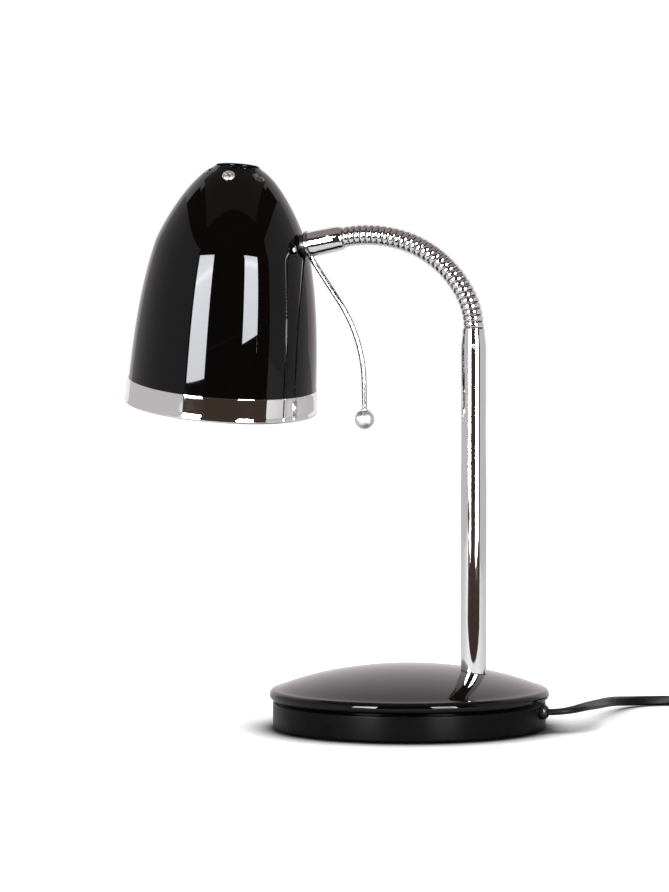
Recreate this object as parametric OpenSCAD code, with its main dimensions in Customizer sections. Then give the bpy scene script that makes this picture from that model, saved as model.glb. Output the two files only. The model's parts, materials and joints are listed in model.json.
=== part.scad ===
/* [Base] */
// Diameter of the domed cover over its rolled edge
cover_d = 175.2; // [172:0.2:190]
// Radius of the rolled edge of the cover
bead_r = 3.6; // [2.5:0.1:4.5]
// Height of the middle of the rolled edge above the table
bead_z = 21.6; // [20.5:0.1:26]
// Height of the top of the dome above the table
dome_top = 39.7; // [37:0.1:48]
// Sheet thickness of the domed cover
cover_wall = 1.2; // [0.8:0.1:1.8]
// How far the skirt stands back under the edge of the cover
skirt_in = 2.1; // [1.6:0.1:3]
// Wall of the skirt
skirt_wall = 2.5; // [1.5:0.1:3.5]
// Height of the top of the skirt above the table
skirt_top = 16.7; // [15.5:0.1:18]
// Thickness of the felt pad
pad_t = 1; // [0.8:0.1:1.5]
// Thickness of the bottom plate
plate_t = 1.5; // [1:0.1:2]
// Thickness of the iron weight
weight_t = 12; // [10:0.5:13]
// Diameter of the iron weight at its foot
weight_d = 142; // [130:1:146]
// Diameter of the boss that carries the stem
boss_d = 24; // [20:0.5:30]
// Circle of the screws under the base
screw_circle_d = 110; // [90:1:120]

/* [Stem] */
// Outer diameter of the stem tube
stem_d = 16; // [15:0.1:18]
// Wall of the stem tube
stem_wall = 1; // [0.6:0.1:1.4]
// Distance of the stem from the middle of the base
stem_x = 41.5; // [34:0.5:48]
// Height of the top of the stem above the table
stem_top = 250.8; // [180:0.2:340]
// Length of the rolled-in end of the stem
crimp_l = 12; // [8:0.5:16]
// Diameter of the stem at its rolled-in lip
crimp_d = 13.2; // [12.9:0.1:14]
// Height of the grub screw below the top of the stem
grub_drop = 10.6; // [8:0.2:14]
// Thread diameter of the hollow tie rod
nipple_d = 10; // [9:0.5:11]
// Bore of the hollow tie rod
nipple_bore = 7.2; // [6.8:0.1:7.6]

/* [Neck] */
// Diameter of the flexible neck over its winding
neck_d = 12.4; // [12.2:0.1:12.6]
// Radius of the bend at the foot of the neck
neck_foot_r = 46; // [45:0.5:80]
// Turn of the bend at the foot, in degrees
neck_foot_turn = 28; // [20:1:36]
// Radius of the middle of the neck
neck_mid_r = 67.5; // [60:0.5:90]
// Turn of the middle of the neck, in degrees
neck_mid_turn = 45; // [36:1:50]
// Radius of the bend at the head end
neck_head_r = 79.5; // [65:0.5:110]
// Fall of the head end below level, in degrees
neck_drop = 11.4; // [6:0.2:18]
// Turns of wire on each link
turns_per_link = 1.6; // [1.5:0.05:1.65]
// Width of the wire along the neck
wire_w = 2.8; // [2.4:0.1:2.9]
// Depth of the wire towards the core
wire_depth = 2.6; // [2:0.1:2.7]
// Bore of the core for the lead
core_bore = 4.6; // [4:0.1:5]

/* [Swivel and handle] */
// Length of the ferrule
ferrule_l = 22.2; // [18:0.1:26]
// Diameter of the ferrule at the head end
ferrule_d = 13.7; // [13:0.1:15]
// Thickness of the eye of the handle
eye_t = 2; // [1.6:0.1:3]
// Diameter of the eye of the handle
eye_d = 16; // [14:0.2:20]
// Length of the black spacer on the swivel line
spacer_l = 2; // [1.8:0.1:6]
// Diameter of the black spacer
spacer_d = 14.4; // [13:0.2:18]
// Thread diameter of the hollow swivel rod
swivel_d = 8; // [7.5:0.1:9]
// Diameter of the handle rod
rod_d = 3.2; // [2.6:0.1:4]
// Radius of the bend where the rod leaves the eye
rod_kick_r = 8; // [6:0.5:12]
// Turn of that bend, in degrees
rod_kick = 21.9; // [15:0.1:32]
// Straight length of the rod after that bend
rod_straight = 31; // [20:0.5:36]
// Radius of the long bend of the rod
rod_bend_r = 93.6; // [80:0.1:120]
// Straight fall of the rod above the ball
rod_drop = 17.6; // [6:0.1:24]
// Roll of the handle about the swivel line, in degrees
handle_roll = 3; // [-8:0.1:8]
// Diameter of the ball on the handle
ball_d = 12.3; // [10:0.1:15]

/* [Shade] */
// Diameter of the shade at its rim
rim_d = 120; // [112:1:126]
// Height of the shade from rim to top opening
shade_h = 152; // [146:0.5:158]
// Diameter of the top opening
top_d = 26; // [24:0.5:28]
// Sheet thickness of the shade
shade_wall = 0.8; // [0.6:0.1:1.2]
// Height of the swivel hole above the rim
swivel_h = 107.2; // [102:0.2:110]
// Lean of the shade towards the stem, in degrees
shade_lean = 5.9; // [3:0.1:8]
// Roll of the shade about the swivel line, in degrees
shade_roll = 5.7; // [-8:0.1:8]
// Height of the bright band at the rim
band_h = 14.5; // [10:0.5:18]
// Thickness of the bright band
band_t = 0.6; // [0.4:0.1:1]
// Diameter of the vent holes
vent_d = 8; // [6:0.2:8.6]
// Radius of the circle of vents and holder screws
vent_r = 19.4; // [18.6:0.1:20]

/* [Lamp] */
// Diameter of the lampholder at its mouth
holder_d = 40; // [37:0.5:44]
// Length of the lampholder
holder_l = 46; // [42:0.5:50]
// Largest diameter of the bulb
bulb_d = 60; // [50:1:66]
// Length of the glass of the bulb
bulb_l = 80; // [74:1:84]
// Diameter of the screw cap of the bulb
cap_d = 26.2; // [25.8:0.1:26.4]

/* [Mains lead] */
// Width of the flat twin lead
lead_w = 6.2; // [5.6:0.1:6.6]
// Thickness of the flat twin lead
lead_t = 3.8; // [3.4:0.1:3.9]
// Diameter of the grommet outside the skirt
grommet_d = 9.6; // [9.2:0.1:11]
// Height of the grommet above the table
grommet_z = 12.6; // [11:0.1:13]
// Radius of the outermost turn of the coiled lead
coil_r = 40.5; // [38:0.5:42]
// Turns that the coil makes inward in its lower layer
coil_turns = 3.25; // [2.25:1:4.25]
// Length of the cord switch
switch_l = 56; // [50:1:60]
// Width of the cord switch
switch_w = 24; // [20:0.5:26]
// Height of the cord switch
switch_h = 17; // [16:0.5:20]
// Width of the plug
plug_w = 35.5; // [34:0.5:37]
// Thickness of the plug
plug_h = 13.7; // [13:0.1:15]
// Length of the plug body
plug_l = 36; // [32:0.5:42]
// Diameter of the plug pins
pin_d = 4; // [3.8:0.1:4.8]

/* [Hidden] */
$fn = 72;
link_count = 19;
LINKS = [for (i = [1:link_count]) str("neck_link_", i < 10 ? "0" : "", i)];

// Clearances between pieces that fit together
fit_gap = 0.1;
free_gap = 0.3;
seam_gap = 0.15;

// Levels in the base
plate_z = pad_t;
weight_z = plate_z + plate_t + fit_gap;
weight_top = weight_z + weight_t;
cover_r = cover_d / 2 - bead_r;
skirt_r = cover_d / 2 - skirt_in;
// The dome is the top of a flat ellipse
dome_a = 120;
dome_b = 51;
function dome_z(r) = dome_top - dome_b * (1 - sqrt(1 - pow(r / dome_a, 2)));
dome_steps = 20;
cover_hole = nipple_d + 0.6;
counterbore_d = 22;
counterbore_h = 11;
flange_t = 1.8;
flange_r = weight_d / 2 + 0.4;
lip_r = skirt_r - skirt_wall - 1;
channel_w = lead_w + 1.8;
channel_h = 6.4;
channel_z = 5.2;
// The lead has come down to the channel this far in from the skirt's face
lead_fall_r = 20;
clip_in = 5;
clip_l = 8;
clip_x = min(weight_d / 2 - clip_l - clip_in, skirt_r - lead_fall_r - clip_l);
lead_play = 0.15;
skirt_lip_t = 1.6;
rim_slot_w = grommet_d + 0.8;
base_screw_d = 4;
base_screw_head = 7.6;
screw_head_t = 1.2;
screw_l = 9;
screw_angles = [75, 195, 315];

// Stem
stem_r = stem_d / 2;
stem_bore_r = stem_r - stem_wall;
bush_z = dome_z(stem_x + stem_r) + 5;
bush_l = 14;
nut_t = 3.5;
nut_af = 17;
washer_t = 1.2;
washer_d = 20;
nut_z = weight_z + counterbore_h - washer_t - nut_t - fit_gap;
nipple_top = bush_z + bush_l;
nipple_z = nut_z - 0.5;
socket_l = 24;
socket_drop = 1.2;
socket_z = stem_top - socket_l - socket_drop;
socket_bore_r = 2.6;
core_d = neck_d - 2 * wire_depth - 0.4;
core_r = core_d / 2;
core_gap = 0.45;
core_tail = 11;
core_step = 0.3;
core_sink = 1.5;
grub_d = 3;
// The grub screw faces the front of the lamp, a little to its right
grub_turn = -75;
stem_lip_r = neck_d / 2 + 0.15;

// Neck: three arcs in the plane of the stem, each [radius, turn]
neck_arcs = [[neck_foot_r, neck_foot_turn], [neck_mid_r, neck_mid_turn],
    [neck_head_r, 90 + neck_drop - neck_foot_turn - neck_mid_turn]];
function arc_l(a) = a[0] * a[1] * PI / 180;
neck_l = arc_l(neck_arcs[0]) + arc_l(neck_arcs[1]) + arc_l(neck_arcs[2]);
link_l = neck_l / link_count;
// Place [x, z] and heading at a distance s along the neck; the heading turns from up to the left
function along(s, x, z, h, i) =
    let (a = neck_arcs[i], part = min(s, arc_l(a)), turn = part / a[0] * 180 / PI)
    let (nx = x - a[0] * (cos(h) - cos(h + turn)), nz = z + a[0] * (sin(h + turn) - sin(h)))
    (s <= arc_l(a) || i == 2) ? [nx, nz, h + turn] : along(s - part, nx, nz, h + turn, i + 1);
function neck_at(s) = along(s, stem_x, stem_top, 0, 0);
neck_end = neck_at(neck_l);
rings_per_link = 24;
wire_end_turn = 6;
wire_r = neck_d / 2;
wire_in_r = wire_r - wire_depth;
// Rounded rib, as [radius, distance along the neck]
rib = [[wire_in_r, -wire_w * 0.38], [wire_r - wire_depth * 0.4, -wire_w / 2], [wire_r, -wire_w * 0.22],
    [wire_r, wire_w * 0.22], [wire_r - wire_depth * 0.4, wire_w / 2], [wire_in_r, wire_w * 0.38]];
neck_turns = turns_per_link * link_count;
wire_pitch = neck_l / neck_turns;
wire_clear = wire_w / 2 + free_gap;
// A point of the wire's surface: s is the place of its middle along the neck, phase its turn
function neck_point(s, phase, r, ds) =
    let (p = neck_at(max(0, min(neck_l, s + ds))), h = p[2])
    [p[0] - r * cos(phase) * cos(h), r * sin(phase), p[1] - r * cos(phase) * sin(h)];
function wire_s(turn) = max(wire_clear, min(neck_l - wire_clear, turn * wire_pitch));
function wire_ring(turn) = [for (q = rib) neck_point(wire_s(turn), turn * 360, q[0], q[1])];
function link_turns(k) =
    let (t0 = (k - 1) * turns_per_link + wire_end_turn / 360, t1 = k * turns_per_link - wire_end_turn / 360)
    let (a = k == 1 ? wire_clear / wire_pitch : t0)
    let (b = k == link_count ? neck_turns - wire_clear / wire_pitch : t1)
    [for (i = [0:rings_per_link]) a + (b - a) * i / rings_per_link];

// Swivel line: from the head end of the neck along its last heading
function on_swivel(d) = [neck_end[0] - d * cos(neck_drop), 0, neck_end[1] - d * sin(neck_drop)];
eye_place = ferrule_l + seam_gap;
spacer_place = eye_place + eye_t + fit_gap;
wall_place = spacer_place + spacer_l;
swivel_hole = swivel_d + 2 * free_gap;
swivel_bore = 5;
swivel_in = 9;
swivel_nut_t = 3;
swivel_nut_af = 13;
swivel_washer_t = 1;
saddle_t = 4;
// Inner face of the saddle washer and inner end of the hollow rod, from the wall's outside
saddle_in = saddle_t + 1.6;
nipple_out = saddle_in + swivel_washer_t + swivel_nut_t + 2.4;

// Shade outline: two cubic curves from the rim to the top opening
rim_r = rim_d / 2;
top_r = top_d / 2;
shoulder_r = rim_r * 0.8125;
shoulder_h = shade_h * 0.6632;
low_reach = shade_h * 0.221;
high_reach = shade_h * 0.0605;
shoulder_dir = [-0.2474, 0.969];
function bezier(a, b, c, d, t) =
    pow(1 - t, 3) * a + 3 * pow(1 - t, 2) * t * b + 3 * (1 - t) * t * t * c + pow(t, 3) * d;
shade_low = [[rim_r, 0], [rim_r * 0.978, shade_h * 0.232],
    [shoulder_r, shoulder_h] - low_reach * shoulder_dir,
    [shoulder_r, shoulder_h]];
shade_high = [[shoulder_r, shoulder_h], [shoulder_r, shoulder_h] + high_reach * shoulder_dir,
    [top_r + rim_r * 0.268, shade_h * 0.963], [top_r, shade_h]];
shade_steps = 12;
shade_line = concat(
    [for (i = [0:shade_steps - 1]) bezier(shade_low[0], shade_low[1], shade_low[2], shade_low[3],
        i / shade_steps)],
    [for (i = [0:shade_steps]) bezier(shade_high[0], shade_high[1], shade_high[2], shade_high[3],
        i / shade_steps)]);
shade_table = [for (p = shade_line) [p[1], p[0]]];
function shade_r(h) = lookup(h, shade_table);
shade_by_r = [for (i = [len(shade_line) - 1:-1:0]) [shade_line[i][0], shade_line[i][1]]];
function shade_height(r) = lookup(r, shade_by_r);
function shade_slope(h) = atan2(shade_r(h - 2) - shade_r(h + 2), 4);
vent_h = shade_height(vent_r);
vent_turns = [-150, -30, 30, 150];
holder_screw_turns = [-90, 90];
holder_screw_d = 4;
holder_screw_head = 8;
lip_roll_r = 1;
rest_swing = neck_drop + shade_lean;

// Lampholder and bulb, along the shade's own line
strip_t = 1.2;
strip_w = 18;
strip_top = vent_h - 2.4;
holder_top = strip_top - strip_t - fit_gap;
holder_mouth = holder_top - holder_l;
holder_thread_d = 10;
glass_t = 1;
shell_bore = cap_d / 2 + free_gap;
shell_wall = 0.7;
shell_l = 22;
shell_z = holder_mouth + 2.5;
cap_z = holder_mouth + 1.5;
cap_l = 22;
glass_top = cap_z + 1.5;

// Mains lead outside the lamp. Its points are chosen by hand, in mm from where it leaves the grommet
exit_x = skirt_r + 4.1;
function from_exit(points) = [for (p = points) [p[0] + exit_x, p[1], p[2]]];
run_points = from_exit([[0, 0, 12.6], [6.4, 0.4, 13], [13.4, 4.4, 13.8], [17.8, 14, 14.4], [18.8, 28, 13.9],
    [18.6, 45, 12.8], [17.6, 65, 11.3], [16.4, 85, 9.8], [15.4, 105, 8.2], [15.4, 125, 6.4],
    [17.8, 143, 4.6], [24.9, 157, 3.5], [37.4, 165, 3.2], [48.4, 168, 3.4], [62.4, 168, 8.4]]);
// Turn of the flat lead about its own line at each point: 0 lies flat, 90 stands on edge
run_rolls = [0, 0, 8, 20, 34, 48, 60, 72, 82, 88, 90, 90, 80, 40, 0];
out_points = from_exit([[118.4, 168, 8.4], [130.4, 167, 6.8], [141.4, 161.5, 5], [149.4, 152, 4.4],
    [153.4, 140, 4.2], [154.4, 128, 4.2], [154.4, 105, 4.2]]);
out_rolls = [0, 10, 40, 70, 88, 90, 90];
// Lead inside the base and the stem: in through the grommet, down the rim's slot, along the channel and up
inner_lead_points = [[exit_x, 0, 12.6], [skirt_r - 1.5, 0, 12.6], [skirt_r - 5, 0, 12.6],
    [skirt_r - 8.4, 0, 11.4], [skirt_r - 11.4, 0, 8.4], [skirt_r - 15, 0, 6],
    [skirt_r - lead_fall_r, 0, 5.3], [(skirt_r - lead_fall_r + stem_x + 9.5) / 2, 0, channel_z],
    [stem_x + 9.5, 0, 5], [stem_x + 5.1, 0, 5.4], [stem_x + 1.9, 0, 7.6], [stem_x + 0.3, 0, 11],
    [stem_x, 0, 16], [stem_x, 0, 40], [stem_x, 0, 130], [stem_x, 0, 220]];
// Lead in the shade: out of the hollow rod, up beside the holder and in through its side
rod_in = [shade_r(swivel_h) - cos(rest_swing) * nipple_out, 0, swivel_h - sin(rest_swing) * nipple_out];
rod_way = [-cos(rest_swing), 0, -sin(rest_swing)];
holder_in = [holder_d / 2 - 4.1, 0, holder_top - 13];
head_lead_x = holder_d / 2 + 4.6;
head_lead_points = [rod_in - 3.4 * rod_way, rod_in, rod_in + 4 * rod_way,
    [head_lead_x + 1.6, 0, rod_in[2] + 0.4], [head_lead_x, 0, rod_in[2] + 7],
    [head_lead_x - 0.4, 0, holder_in[2] - 12],
    [head_lead_x - 1.6, 0, holder_in[2] - 4], [head_lead_x - 4.6, 0, holder_in[2] - 0.4], holder_in];
head_lead_d = 4.4;
ring_gap = 9;
switch_x = exit_x + 62.4;
switch_y = 168;
coil_place = [exit_x + 113.9, 105];
coil_z = 4.2;
coil_clear = 0.5;
coil_pitch = lead_t + coil_clear;
coil_mid = coil_turns + 0.25;
coil_in_r = coil_r - coil_pitch * coil_mid;
layer_rise = lead_w + coil_clear;
coil_turn_all = 2 * coil_turns + 0.5;
coil_steps = 24;
tie_t = 0.8;
tie_w = 6;
tie_turns = [120, 280];
plug_x = coil_place[0] + coil_r;
plug_y = 58;
plug_z = plug_h / 2;
pin_l = 19;
pin_spacing = 18.6;
pin_z = plug_z;

// Height of the lead's own section as [across, along its width]
function flat8(w, t) = [[t * 0.5, w * 0.26], [t * 0.22, w * 0.5], [-t * 0.22, w * 0.5],
    [-t * 0.5, w * 0.26],
    [-t * 0.5, -w * 0.26], [-t * 0.22, -w * 0.5], [t * 0.22, -w * 0.5], [t * 0.5, -w * 0.26]];
function flat6(w, t) = [[t * 0.5, w * 0.3], [0, w * 0.5], [-t * 0.5, w * 0.3],
    [-t * 0.5, -w * 0.3], [0, -w * 0.5], [t * 0.5, -w * 0.3]];
function round8(d) = [for (i = [0:7]) [cos(i * 45), sin(i * 45)] * d / 2];

// A smooth line through hand-chosen points
function unit(v) = v / norm(v);
function through(a, b, c, d, t) =
    0.5 * (2 * b + (c - a) * t + (2 * a - 5 * b + 4 * c - d) * t * t + (3 * b - a - 3 * c + d) * t * t * t);
function smooth(p) = let (n = len(p))
    concat([for (i = [0:n - 2])
        let (steps = max(1, round(norm(p[i + 1] - p[i]) / ring_gap)),
            before = i == 0 ? 2 * p[0] - p[1] : p[i - 1],
            after = i == n - 2 ? 2 * p[n - 1] - p[n - 2] : p[i + 2])
        for (j = [0:steps - 1]) through(before, p[i], p[i + 1], after, j / steps)], [p[n - 1]]);
function heading(p, i) = unit(p[min(i + 1, len(p) - 1)] - p[max(i - 1, 0)]);

// Closed skin over a row of rings with equally many points
module skin(rings) {
    n = len(rings[0]);
    last = (len(rings) - 1) * n;
    sides = [for (k = [0:len(rings) - 2]) for (i = [0:n - 1])
        let (a = k * n + i, b = k * n + (i + 1) % n)
        each [[a, b + n, b], [a, a + n, b + n]]];
    polyhedron([for (r = rings) each r],
        concat(sides, [[for (i = [0:n - 1]) i], [for (i = [n - 1:-1:0]) last + i]]), convexity = 8);
}

// Tube with a flat or round section along a line that never runs straight up,
// turned about its own line by the rolls
module lead_along(points, rolls, section) {
    line = smooth([for (i = [0:len(points) - 1]) [each points[i], rolls[i]]]);
    path = [for (p = line) [p[0], p[1], p[2]]];
    skin([for (i = [0:len(path) - 1])
        let (dir = heading(path, i), side = unit(cross(dir, [0, 0, 1])), up = cross(side, dir),
            a = line[i][3])
        [for (q = section)
            path[i] + side * (q[0] * sin(a) + q[1] * cos(a)) + up * (q[0] * cos(a) - q[1] * sin(a))]]);
}

// Tube along a line in the plane of the stem, its width across that plane
module lead_in_plane(points, section) {
    path = smooth(points);
    skin([for (i = [0:len(path) - 1])
        let (dir = heading(path, i), across = [0, 1, 0], up = cross(across, dir))
        [for (q = section) path[i] + across * q[1] - up * q[0]]]);
}

// Base
module dome_solid(grow) {
    rotate_extrude()
        polygon(concat([[0, 0]], [[cover_r, 0]],
            [for (i = [0:dome_steps]) let (r = cover_r * (1 - i / dome_steps)) [r, dome_z(r) + grow]]));
}

module base_cover() {
    hole_r = cover_hole / 2;
    step = (cover_r - 0.5) / dome_steps;
    inner_r = cover_r - bead_r + 0.6;
    color("#0b0b0c") difference() {
        rotate_extrude()
            polygon(concat(
                [for (i = [0:dome_steps]) [i * step, dome_z(i * step)]],
                [for (a = [80:-20:-80]) [cover_r + bead_r * cos(a), bead_z + bead_r * sin(a)]],
                [[cover_r - 1, bead_z - bead_r], [cover_r - 1.6, skirt_top + fit_gap],
                 [inner_r, skirt_top + fit_gap], [inner_r, dome_z(inner_r) - cover_wall]],
                [for (i = [dome_steps - 1:-1:0]) let (r = inner_r * i / dome_steps)
                    [r, dome_z(r) - cover_wall]]));
        translate([stem_x, 0, 0]) cylinder(h = dome_top + 1, r = hole_r);
    }
}

module base_skirt() {
    z0 = pad_t - 0.2;
    color("#151516") difference() {
        rotate_extrude()
            polygon([[skirt_r - 1, z0], [skirt_r - 0.3, z0 + 0.3], [skirt_r, z0 + 1],
                [skirt_r, skirt_top - 0.6],
                [skirt_r - 0.6, skirt_top], [skirt_r - 6, skirt_top], [skirt_r - 6, skirt_top - skirt_lip_t],
                [skirt_r - skirt_wall, skirt_top - skirt_lip_t], [skirt_r - skirt_wall, weight_z + flange_t],
                [flange_r, weight_z + flange_t], [flange_r, weight_z + fit_gap],
                [skirt_r - skirt_wall, weight_z + fit_gap], [skirt_r - skirt_wall, z0]]);
        translate([skirt_r - 2 * skirt_wall, 0, grommet_z]) rotate([0, 90, 0])
            cylinder(h = 3 * skirt_wall, d = grommet_d - 1.8);
    }
}

module base_weight() {
    color("#4a4a4c") difference() {
        union() {
            rotate_extrude()
                polygon([[0, weight_z], [weight_d / 2, weight_z],
                    [weight_d / 2, weight_z + flange_t + fit_gap],
                    [lip_r, weight_z + flange_t + fit_gap], [lip_r, weight_top - 3.6],
                        [lip_r - 3, weight_top],
                    [0, weight_top]]);
            intersection() {
                translate([stem_x, 0, weight_top - 1]) cylinder(h = dome_top, d = boss_d);
                dome_solid(-cover_wall - fit_gap);
            }
        }
        translate([stem_x, 0, weight_z - 1]) cylinder(h = dome_top, d = nipple_d + 0.3);
        translate([stem_x, 0, weight_z - 1]) cylinder(h = counterbore_h + 1, d = counterbore_d);
        translate([stem_x, -channel_w / 2, weight_z - 1]) cube([skirt_r, channel_w, channel_h + 1]);
        // Slot in the rim where the lead drops from the grommet into its channel
        translate([weight_d / 2 - 3, -rim_slot_w / 2, weight_z - 1])
            cube([skirt_r, rim_slot_w, weight_t + 2]);
        for (a = screw_angles) rotate(a) translate([screw_circle_d / 2, 0, weight_z - 1])
            cylinder(h = screw_l + 0.5, d = base_screw_d + 0.1);
    }
}

module base_plate() {
    color("#6a6a6c") difference() {
        translate([0, 0, plate_z]) cylinder(h = plate_t, r = skirt_r - skirt_wall - free_gap, $fn = 120);
        for (a = screw_angles) rotate(a) translate([screw_circle_d / 2, 0, plate_z - 1]) {
            cylinder(h = plate_t + 2, d = base_screw_d + 0.4);
            cylinder(h = 1 + screw_head_t / 2, d = base_screw_head + 0.4);
        }
    }
}

module base_screws() {
    color("silver") for (a = screw_angles) rotate(a) translate([screw_circle_d / 2, 0, plate_z + 0.1])
        difference() {
        union() {
            cylinder(h = screw_head_t / 2 - 0.15, d = base_screw_head);
            cylinder(h = screw_l, d = base_screw_d);
        }
        translate([-base_screw_head, -0.5, -1]) cube([2 * base_screw_head, 1, 1.25]);
    }
}

module base_pad() {
    color("#232323") cylinder(h = pad_t, r = skirt_r - skirt_wall - 3, $fn = 120);
}

// Stem
module stem_tube() {
    lip_z = stem_top - crimp_l;
    // The tube starts inside the dome and is coped to it
    color("#d4d4d6") difference() {
        translate([stem_x, 0, 0]) rotate_extrude()
            polygon([[stem_bore_r, bead_z], [stem_r, bead_z], [stem_r, lip_z],
                [stem_r - 0.25, lip_z + crimp_l * 0.35],
                [crimp_d / 2 + 0.5, lip_z + crimp_l * 0.85], [crimp_d / 2, stem_top - 0.3],
                    [crimp_d / 2 - 0.2, stem_top],
                [stem_lip_r, stem_top], [stem_lip_r, lip_z + crimp_l * 0.85],
                [stem_bore_r - 0.1, lip_z + crimp_l * 0.35], [stem_bore_r, lip_z]]);
        dome_solid(seam_gap);
        translate([stem_x, 0, stem_top - grub_drop]) rotate([0, 90, grub_turn])
            cylinder(h = stem_d, d = grub_d);
    }
}

module stem_bush() {
    color("#b9a05a") translate([stem_x, 0, bush_z]) difference() {
        cylinder(h = bush_l, r = stem_bore_r - fit_gap);
        translate([0, 0, -1]) cylinder(h = bush_l + 2, d = nipple_d + 0.2);
    }
}

module stem_nipple() {
    color("#c8b26a") translate([stem_x, 0, nipple_z]) difference() {
        cylinder(h = nipple_top - nipple_z, d = nipple_d);
        translate([0, 0, -1]) cylinder(h = nipple_top - nipple_z + 2, d = nipple_bore);
    }
}

module ring_piece(place, outer, inner, h) {
    translate(place) difference() {
        cylinder(h = h, d = outer);
        translate([0, 0, -1]) cylinder(h = h + 2, d = inner);
    }
}

module hex_nut(place, af, inner, h) {
    translate(place) difference() {
        cylinder(h = h, d = af / cos(30), $fn = 6);
        translate([0, 0, -1]) cylinder(h = h + 2, d = inner);
    }
}

module stem_nut() {
    color("silver") {
        hex_nut([stem_x, 0, nut_z], nut_af, nipple_d + 0.1, nut_t);
        ring_piece([stem_x, 0, nut_z + nut_t], washer_d, nipple_d + 0.1, washer_t);
    }
}

// Plug inside the top of the stem that holds the neck's core
module neck_socket() {
    body_r = stem_bore_r - fit_gap;
    nose_r = stem_lip_r - fit_gap;
    color("#a8a8aa") difference() {
        translate([stem_x, 0, 0]) rotate_extrude()
            polygon([[socket_bore_r, socket_z], [body_r, socket_z], [body_r, stem_top - crimp_l - 0.2],
                [nose_r - 0.3, stem_top - crimp_l * 0.4], [nose_r - 0.3, stem_top - socket_drop],
                [core_r + fit_gap, stem_top - socket_drop],
                    [core_r + fit_gap, stem_top - core_tail - fit_gap],
                [socket_bore_r, stem_top - core_tail - fit_gap]]);
        translate([stem_x, 0, stem_top - grub_drop]) rotate([0, 90, grub_turn])
            cylinder(h = stem_d, d = grub_d - 0.2);
    }
}

module stem_grub_screw() {
    tip = core_r + 0.2;
    head = stem_r - 0.7;
    color("#8c8c8e") translate([stem_x, 0, stem_top - grub_drop]) rotate([0, 90, grub_turn]) difference() {
        translate([0, 0, tip]) cylinder(h = head - tip, d = grub_d - 0.4);
        translate([0, 0, head - 0.8]) cylinder(h = 2, d = 1.3, $fn = 6);
    }
}

module cord_grommet() {
    neck_r = grommet_d / 2 - 1;
    inner_r = neck_r + 0.35;
    wall_in = skirt_r - skirt_wall;
    color("#101010") difference() {
        translate([0, 0, grommet_z]) rotate([0, 90, 0]) difference() {
            rotate_extrude()
                polygon(concat(
                    [[0, wall_in - 2], [inner_r, wall_in - 2], [inner_r, wall_in - seam_gap],
                     [neck_r, wall_in - seam_gap], [neck_r, skirt_r + fit_gap],
                     [grommet_d / 2, skirt_r + fit_gap]],
                    [for (a = [15:15:60]) [grommet_d / 2 * cos(a), skirt_r + fit_gap + 4.6 * sin(a)]],
                    [[0, skirt_r + fit_gap + 4]]));
            translate([0, 0, skirt_r - 10]) linear_extrude(20)
                square([lead_t + 2 * lead_play, lead_w + 2 * lead_play], center = true);
        }
        // The inner lip is cut flat under the skirt's own lip
        translate([0, -grommet_d, skirt_top - skirt_lip_t - fit_gap])
            cube([wall_in - seam_gap, 2 * grommet_d, 10]);
    }
}

// Strap round the lead in the weight's channel
module cord_clip() {
    color("#1c1c1c") difference() {
        translate([clip_x, fit_gap - channel_w / 2, weight_z + fit_gap])
            cube([clip_l, channel_w - 2 * fit_gap, channel_h - 2 * fit_gap]);
        translate([clip_x - 1, -lead_w / 2 - lead_play, channel_z - lead_t / 2 - lead_play])
            cube([clip_l + 2, lead_w + 2 * lead_play, lead_t + 2 * lead_play]);
    }
}

module base_lead() {
    color("#161616") lead_in_plane(inner_lead_points, flat8(lead_w, lead_t));
}

// Each link is a piece of core with its own turns of the outer wire. The first and last pieces
// of the core also reach into the stem's socket and into the ferrule
module core_rod(low, high, d) {
    translate([0, 0, low]) cylinder(h = high - low, d = d, $fn = 36);
}

module neck_link(k) {
    first = k == 1;
    last = k == link_count;
    mid = neck_at((k - 0.5) * link_l);
    low = first ? -link_l / 2 : core_gap - link_l / 2;
    high = last ? link_l / 2 : link_l / 2 - core_gap;
    tail_d = core_d - core_step;
    tail_bore = core_bore - core_step;
    color("#cfcfd1") difference() {
        union() {
            translate([mid[0], 0, mid[1]]) rotate([0, -mid[2], 0]) core_rod(low, high, core_d);
            if (first) translate([stem_x, 0, stem_top]) core_rod(-core_tail, core_sink, tail_d);
            if (last) swivel_frame(0) core_rod(-core_sink, core_tail - 1, tail_d);
        }
        translate([mid[0], 0, mid[1]]) rotate([0, -mid[2], 0]) core_rod(-link_l, link_l, core_bore);
        if (first) translate([stem_x, 0, stem_top]) core_rod(-core_tail - 1, core_sink, tail_bore);
        if (last) swivel_frame(0) core_rod(-core_sink, core_tail, tail_bore);
    }
    color("#dcdcde") skin([for (t = link_turns(k)) wire_ring(t)]);
}

module swivel_frame(d) {
    p = on_swivel(d);
    translate(p) rotate([0, -90 - neck_drop, 0]) children();
}

module neck_ferrule() {
    color("#d8d8da") swivel_frame(0) difference() {
        rotate_extrude()
            polygon([[0, 0.1], [neck_d / 2 - 0.3, 0.1], [neck_d / 2 + 0.05, 0.6], [neck_d / 2 + 0.15, 4],
                [ferrule_d / 2 - 0.1, ferrule_l - 3], [ferrule_d / 2, ferrule_l - 0.6],
                    [ferrule_d / 2 - 0.5, ferrule_l],
                [0, ferrule_l]]);
        translate([0, 0, -1]) cylinder(h = core_tail + 0.5, r = core_r + fit_gap);
        translate([0, 0, ferrule_l - swivel_in]) cylinder(h = swivel_in + 1, d = swivel_d + 0.1);
        translate([0, 0, -1]) cylinder(h = ferrule_l + 2, d = swivel_bore);
        // Punch mark that locks the ferrule to the core
        rotate([0, 0, -75]) translate([neck_d / 2 + 0.9, 0, ferrule_l * 0.36]) sphere(r = 1.3, $fn = 24);
    }
}

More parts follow.
